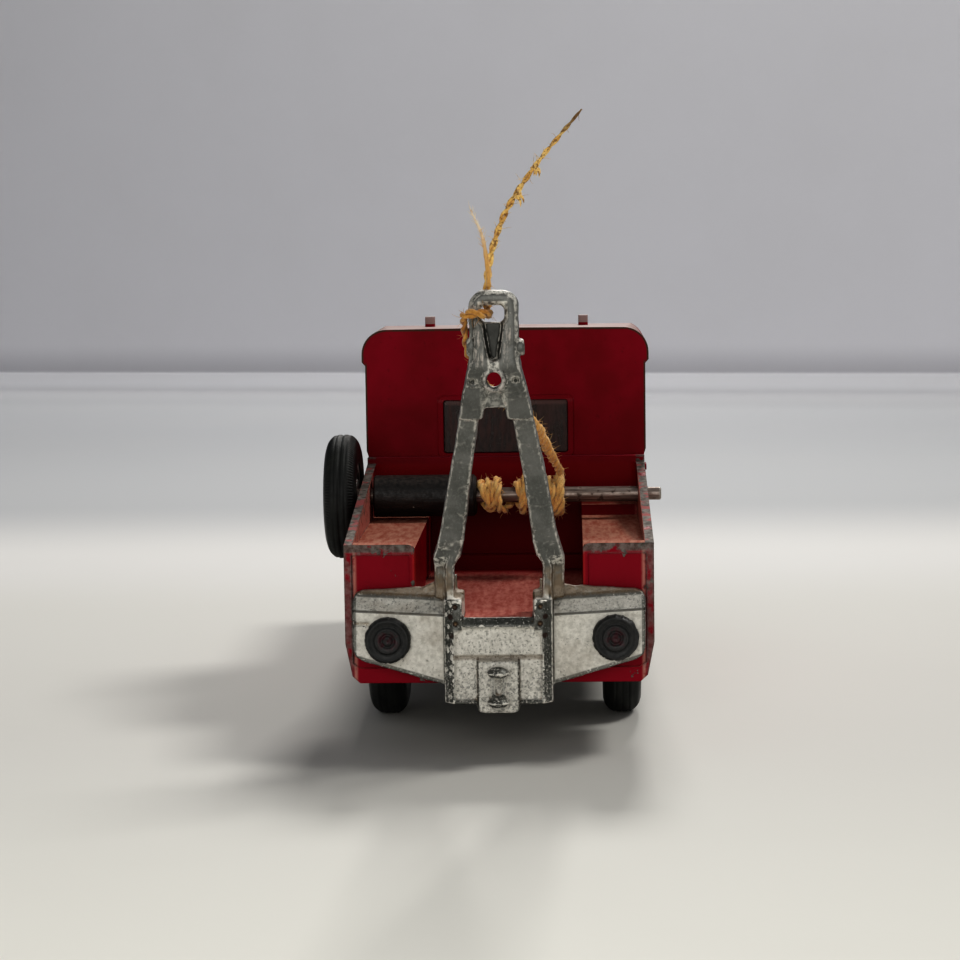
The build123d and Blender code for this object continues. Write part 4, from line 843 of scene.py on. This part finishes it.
# (share of the run, radius): fluffy in the bed, tight round the head, thin at the tip
run_radii = ((0.0, 0.52), (0.12, 0.66), (0.35, 0.62), (0.46, 0.44), (0.58, 0.41), (0.62, 0.55), (0.67, 0.54),
             (0.71, 0.45), (0.80, 0.40), (0.86, 0.34), (0.93, 0.27), (0.97, 0.24), (1.0, 0.15))
# (share of the run, part of the stray hairs that is there)
run_fluff = ((0.0, 1.0), (0.36, 1.0), (0.45, 0.30), (0.62, 0.20), (0.70, 0.20), (1.0, 0.25))
# (turn, x) and (turn, radius) of the winding, from its tucked-in end to where the run leaves it
winding_x = ((0, -0.6), (2.2, -2.9), (4.4, -0.7), (4.9, 2.0), (6.4, 2.4), (9.6, 4.8), (12.4, 7.0),
             (15.6, 2.4), (19.0, 6.9), (21.85, 7.3), (22.06, 7.3))
winding_radii = ((0, 1.50), (2.2, 1.55), (4.4, 2.10), (4.9, 1.50), (6.4, 1.60), (9.6, 1.50), (12.4, 1.55),
                 (15.6, 2.15), (19.0, 2.30), (21.85, 2.45), (22.06, 3.29))


def cord_knots(rng, path, fibre):
    """Two tufts of unravelled fibre on the free end."""
    verts, faces = [], []
    for share, size in ((0.865, 0.85), (0.915, 0.7)):
        centre = path[int(share * (len(path) - 1))]
        for tuft in range(7):
            tail = random_vector(rng, (0.1, 1.0), (-0.5, 0.5), (-1.0, 0.35)) * size
            wrap = random_vector(rng, (-0.4, 0.1), (-0.5, 0.5), (-0.2, 0.5)) * size
            bow = Vector((0.28, 0, 0.22))
            hook = [centre + wrap * (1 - t) + tail * t * 1.3 + bow * math.sin(math.pi * t)
                    for t in (0, 0.2, 0.4, 0.6, 0.8, 1.0)]
            add_tube(verts, faces, hook, [0.08, 0.15, 0.17, 0.15, 0.10, 0.03], 7, ragged=0.4, seed=tuft)
    knots = add_object("cord_knots", verts, faces)
    knots.data.materials.append(fibre)
    return knots


def cord_fray(rng, pale):
    """Pale strand that has come away from the twist, with wisps towards its end."""
    verts, faces = [], []
    strand = nurbs_points("cord_fray", fray_route, 10)
    radii = [0.26 - 0.16 * (i / len(strand)) ** 1.5 for i in range(len(strand))]
    add_tube(verts, faces, strand, radii, 8, ragged=0.4, seed=3)
    for _ in range(46):
        start = strand[rng.randrange(int(len(strand) * 0.35), len(strand))]
        drift = random_vector(rng, (-0.9, 0.25), (-0.5, 0.5), (0.5, 1.7)) * 0.75
        curl = Vector((rng.uniform(-1, 1), rng.uniform(-1, 1), 0)) * 0.35
        wisp = [start + drift * t + curl * t * t for t in (0, 0.3, 0.6, 1.0)]
        add_tube(verts, faces, wisp, [0.05, 0.045, 0.03, 0.008], 3)
    fray = add_object("cord_fray", verts, faces)
    fray.data.materials.append(pale)
    return fray


def cord_along_jib(fibre, pale):
    """Yarn from the winding over the bed, round the head and through its slot to the free end."""
    path = nurbs_points("cord_along_jib", cord_route, 32)
    run = yarn("cord_along_jib", path, lambda share: between(run_radii, share), pitch=3.4, hairs_per_mm=9,
               seed=11, fluff=lambda share: between(run_fluff, share))
    run.data.materials.append(fibre)
    rng = random.Random(5)
    knots = cord_knots(rng, path, fibre)
    fray = cord_fray(rng, pale)
    for piece in (run, knots, fray):
        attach(piece, "truck")
    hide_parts("cord_run")
    length_of(path) * MM


def winding_route():
    """Turns round the rod: a few on the left, more on the right in two layers, loose and uneven."""
    per_turn = 14
    last_turn = winding_x[-1][0]
    start_angle = math.atan2(cord_route[0][2] - ROD_Z, cord_route[0][1] - ROD_Y) - 2 * math.pi * last_turn
    route = []
    for step in range(int(last_turn * per_turn) + 1):
        turn = step / per_turn
        x = between(winding_x, turn)
        radius = between(winding_radii, turn)
        loose = max(0.0, radius - 1.6)
        x += 0.28 * noise.noise(Vector((turn * 0.9, 1.5, 0)))
        x += 0.35 * loose * noise.noise(Vector((turn * 2.3, 6, 0)))
        radius += 0.30 * loose * noise.noise(Vector((turn * 1.7, 3.5, 2)))
        angle = start_angle + 2 * math.pi * turn
        x += 1.3 * noise.noise(Vector((turn * 0.6, 8.5, 4))) * math.cos(angle + turn)
        x = min(max(x, -3.0), 7.3)
        route.append((x, ROD_Y + radius * math.cos(angle), ROD_Z + radius * math.sin(angle)))
    return route + [cord_route[0]]


def cord_on_winch(fibre):
    """The same yarn wound on the rod."""
    path = nurbs_points("cord_on_winch", winding_route(), 5)
    winding = yarn("cord_on_winch", path, lambda share: 0.54 if share > 0.02 else 0.25, pitch=3.6,
                   hairs_per_mm=4.5, seed=23, hair_reach=0.9)
    winding.data.materials.append(fibre)
    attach(winding, "winch")
    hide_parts("cord_winding")
    length_of(path) * MM


# ---------------------------------------------------------------- pieces
def jib(material):
    """The jib casting with rounded edges, the uneven skin of a worn casting and its split wing."""
    piece = bpy.data.objects.new("jib", nodes["jib_casting"].data.copy())
    bpy.context.scene.collection.objects.link(piece)
    remesh = piece.modifiers.new("skin", "REMESH")
    remesh.mode = "VOXEL"
    remesh.voxel_size = 0.17 * MM
    round_off = piece.modifiers.new("round", "SMOOTH")
    round_off.factor = 0.5
    round_off.iterations = 3
    evaluated = piece.evaluated_get(bpy.context.evaluated_depsgraph_get())
    mesh = bpy.data.meshes.new_from_object(evaluated)
    piece.modifiers.clear()
    piece.data = mesh
    moved = []
    for vertex in mesh.vertices:
        place = vertex.co / MM
        lumps = 0.045 if place.z < 19.5 else 0.11      # the plate is smoother than the legs
        swell = lumps * noise.noise(place * 0.55) + 0.035 * noise.noise(place * 1.9 + Vector((3, 1, 5)))
        move = vertex.normal * swell
        # split in the left wing, from its outer edge to the lamp
        split_z = 16.05 + 0.22 * (place.x + 17.3) * -0.35
        if place.x < -15.3 and abs(place.z - split_z) < 0.20 and place.y < -1.0:
            move += Vector((0.0, 0.55, 0.0))
        moved.append(vertex.co + move * MM)
    for vertex, place in zip(mesh.vertices, moved):
        vertex.co = place
    mesh.polygons.foreach_set("use_smooth", [True] * len(mesh.polygons))
    mesh.materials.clear()
    mesh.materials.append(material)
    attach(piece, "truck")
    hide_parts("jib_casting")


def box_of(node):
    """Corners and centre of a CAD node's box, in millimetres."""
    low, high = (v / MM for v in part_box(node))
    return low, high, (low + high) / 2


def tyre_profile(half, bead, radius):
    """Half section of a tyre, mirrored: bulged side walls, rounded shoulders and a flat tread."""
    side = []
    for step in range(29):
        t = step / 28
        out = bead + (radius - bead) * t
        bulge = math.sin(math.pi * min(1.0, 0.16 + t * 0.60)) ** 0.7
        crown = max(0.0, (out - (radius - 1.9)) / 1.9)
        along = half * (0.80 + 0.20 * bulge) * math.sqrt(max(0.0, 1 - 0.80 * crown ** 2.2))
        side.append((along, out))
    tread = [(side[-1][0] * (1 - 2 * k / 16), radius) for k in range(1, 16)]
    return side + tread + [(-along, out) for along, out in reversed(side)]


def tyre(node, body, outward):
    """Solid rubber tyre: moulded rib round the side wall, fine ribs across the shoulders."""
    low, high, centre = box_of(node)
    radius = (high.z - low.z) / 2 - 0.02
    bead = 4.42

    def place(along, out, angle):
        share = (out - bead) / (radius - bead)
        rib = math.cos(angle * 66) ** 4
        shoulder = max(0.0, 1 - abs(share - 0.86) / 0.13)
        rings = 0.07 * max(0.0, 1 - abs(share - 0.52) / 0.05)
        rings += 0.06 * max(0.0, 1 - abs(share - 0.16) / 0.06)
        if share < 0.985:
            groove = 0.0
            along -= math.copysign(0.10 * shoulder * rib - rings + 0.06, along)
        else:
            groove = 0.10 * (math.cos(along * 2 * math.pi / 0.8) > 0.55)
        out -= groove + 0.07 * shoulder * rib
        up, forward = out * math.sin(angle), out * math.cos(angle)
        return (centre.x + outward * along, centre.y + forward, centre.z + up)

    profile = tyre_profile((high.x - low.x) / 2, bead, radius)
    piece = lathe(f"{node}_ribbed", profile, 528, place)
    piece.data.materials.append(rubber(f"rubber_{node}", tuple(centre)))
    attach(piece, body)
    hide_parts(node)


def tail_lamp(node, seed):
    """Soft lamp disc with moulded rings and a rim that has crumbled unevenly."""
    low, high, centre = box_of(node)
    radius = (high.x - low.x) / 2
    face = low.y
    seat = high.y - 1.42
    # (depth behind the face, distance from the middle) across the rings
    rings = ((0.10, 0.02), (0.02, 0.25), (0.05, 0.45), (0.28, 0.6), (0.28, 0.85), (0.06, 1.0), (0.03, 1.25),
             (0.06, 1.5), (0.26, 1.62), (0.26, 1.95), (0.08, 2.08), (0.03, 2.3), (0.09, radius - 0.35),
             (0.28, radius - 0.14), (0.55, radius - 0.04))
    profile = [(seat, 0.02)] + [(face + depth, out) for depth, out in rings]
    profile += [(seat - 0.15, radius - 0.02), (seat, radius - 0.2)]

    def place(along, out, angle):
        around = Vector((math.cos(angle) * 3.2, math.sin(angle) * 3.2, seed))
        crumble = max(0.0, out - (radius - 0.45)) / 0.45
        out -= crumble * (0.16 * abs(noise.noise(around)) + 0.26 * max(0.0, noise.noise(around * 2.7) - 0.12))
        along += 0.05 * noise.noise(Vector((math.cos(angle) * out * 1.4, math.sin(angle) * out * 1.4, seed)))
        return (centre.x + out * math.cos(angle), min(along, seat + 0.02), centre.z + out * math.sin(angle))

    piece = lathe(f"{node}_worn", profile, 180, place)
    piece.data.materials.append(tail_lamp_plastic(f"lamp_skin_{node}", tuple(centre)))
    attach(piece, "truck")
    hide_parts(node)


def dress(node, material):
    """Give a CAD node its material."""
    nodes[node].data.materials.clear()
    nodes[node].data.materials.append(material)


def middle(node):
    return tuple(box_of(node)[2])


# ---------------------------------------------------------------- stage
WALL_TURN = 0.19              # the wall isn't quite square to the truck: it swings about x = -130
WALL_PIVOT = 130.0


def backdrop():
    """Pale table that runs back to a low, slightly turned grey wall, with a small rounded foot."""
    wall_y, fillet, height = 690.0, 1.5, 155.0
    line = [(-1100.0, 0.0), (-300.0, 0.0), (0.0, 0.0), (300.0, 0.0), (wall_y - fillet, 0.0)]
    for step in range(1, 13):
        angle = math.pi / 2 * step / 12
        line.append((wall_y - fillet + fillet * math.sin(angle), fillet - fillet * math.cos(angle)))
    line.append((wall_y, height))
    verts = []
    for y, z in line:
        turn = WALL_TURN if y > 600.0 else 0.0
        verts += [(x, y - turn * (x + WALL_PIVOT), z) for x in (-1300.0, 1300.0)]
    faces = [(2 * i, 2 * i + 1, 2 * i + 3, 2 * i + 2) for i in range(len(line) - 1)]
    stage = add_object("backdrop", verts, faces)
    stage.data.materials.append(backdrop_paper())


def backdrop_paper():
    """Matt paper and a mauve-grey wall, with painted light and shade that even out the lamps: lighter and
    warm near the truck, darker further back and to the right, lighter where the wall shades the table, and a
    painted shadow along the wall's foot.
    """
    s = Surface("backdrop")
    clouds = s.patches(60.0, 0.4, 0.7, detail=3)
    # painted light and shade on the table, changing with the distance from the truck to even out the lamps
    s.mottle(s.y, (0.745, 0.735, 0.680), (0.595, 0.585, 0.555), -120.0, 20.0)
    s.paint((0.635, 0.625, 0.61), s.band(s.y, 100.0, 160.0))
    s.paint((0.405, 0.41, 0.42), s.band(s.y, 165.0, 250.0))
    s.paint((0.335, 0.34, 0.355), s.band(s.y, 250.0, 440.0))
    along_wall = s.add(s.y, s.both(s.add(s.x, WALL_PIVOT), WALL_TURN))
    # painted light on the table near the wall's foot, where the wall shades it from the low lamp
    s.paint((0.80, 0.80, 0.82), s.band(along_wall, 530.0, 640.0))
    # painted shade towards the right, where the side lamp is strongest
    s.paint((0.0, 0.0, 0.0), s.band(s.x, -50.0, 200.0, to=(0.0, 0.17)))
    # painted shadow along the foot of the wall
    wall = s.mix(s.band(s.z, 0.5, 13.0), (0.56, 0.555, 0.58), (0.75, 0.745, 0.77))
    s.paint(wall, s.band(s.z, 0.1, 1.2))
    s.paint((0.45, 0.43, 0.40), clouds, 0.04)
    return s.done(0.75, s.noise(2.5, detail=5), depth=0.02)


def lights():
    """Two soft lamps behind and to the right, weak ones for the viewer's side and the wall, pale room."""
    warm = (1.0, 0.985, 0.95)
    soft_light("low_key", (90, 1240, 940), (0, 0, 10), 300, 9.5, warm)
    soft_light("side_key", (650, 210, 980), (0, 0, 10), 320, 5.0, warm)
    soft_light("fill", (-60, -700, 170), (0, 0, 25), 500, 1.7, warm)
    soft_light("wall_wash", (0, 470, 420), (0, 690, 20), 420, 0.20)
    world = bpy.data.worlds.new("studio")
    world.use_nodes = True
    sky = world.node_tree.nodes["Background"]
    sky.inputs["Color"].default_value = (0.93, 0.95, 1.0, 1)
    sky.inputs["Strength"].default_value = 0.155
    bpy.context.scene.world = world
    view = bpy.context.scene.view_settings
    view.view_transform = "Standard"
    view.look = "High Contrast"


camera()
fibre_material = yarn_fibre()
cord_along_jib(fibre_material, pale_fibre())
cord_on_winch(fibre_material)
backdrop()
lights()

dress("body_casting", red_enamel())
jib(silvered_zinc())
tail_lamp("tail_lamp_left", 2.0)
tail_lamp("tail_lamp_right", 9.0)
dress("window_moulding", smoked_pane())
dress("winch_rod", drawn_steel())
dress("winch_sleeve", black_sleeve())
dress("base_plate", pressed_tin())
steel = bright_steel()
for part in ("base_rivets", "jib_rivet", "rear_axle", "front_axle"):
    dress(part, steel)
dress("seat_moulding", aged_plastic("seat_plastic", (0.60, 0.55, 0.44)))
dress("steering_wheel", aged_plastic("steering_plastic", (0.028, 0.027, 0.026)))
dress("grille_insert", silver_grille(middle("grille_insert")[1]))
for hand in ("left", "right"):
    dress(f"headlamp_{hand}", headlamp_plastic(f"headlamp_{hand}", middle(f"headlamp_{hand}")))
    for end in ("rear", "front"):
        tyre(f"{end}_{hand}_tyre", f"{end}_{hand}_wheel", -1 if hand == "left" else 1)
        dress(f"{end}_{hand}_hub", turned_metal(f"hub_{end}_{hand}", middle(f"{end}_{hand}_hub")))
tyre("spare_tyre", "winch", -1)
dress("spare_hub", turned_metal("hub_spare", middle("spare_hub")))
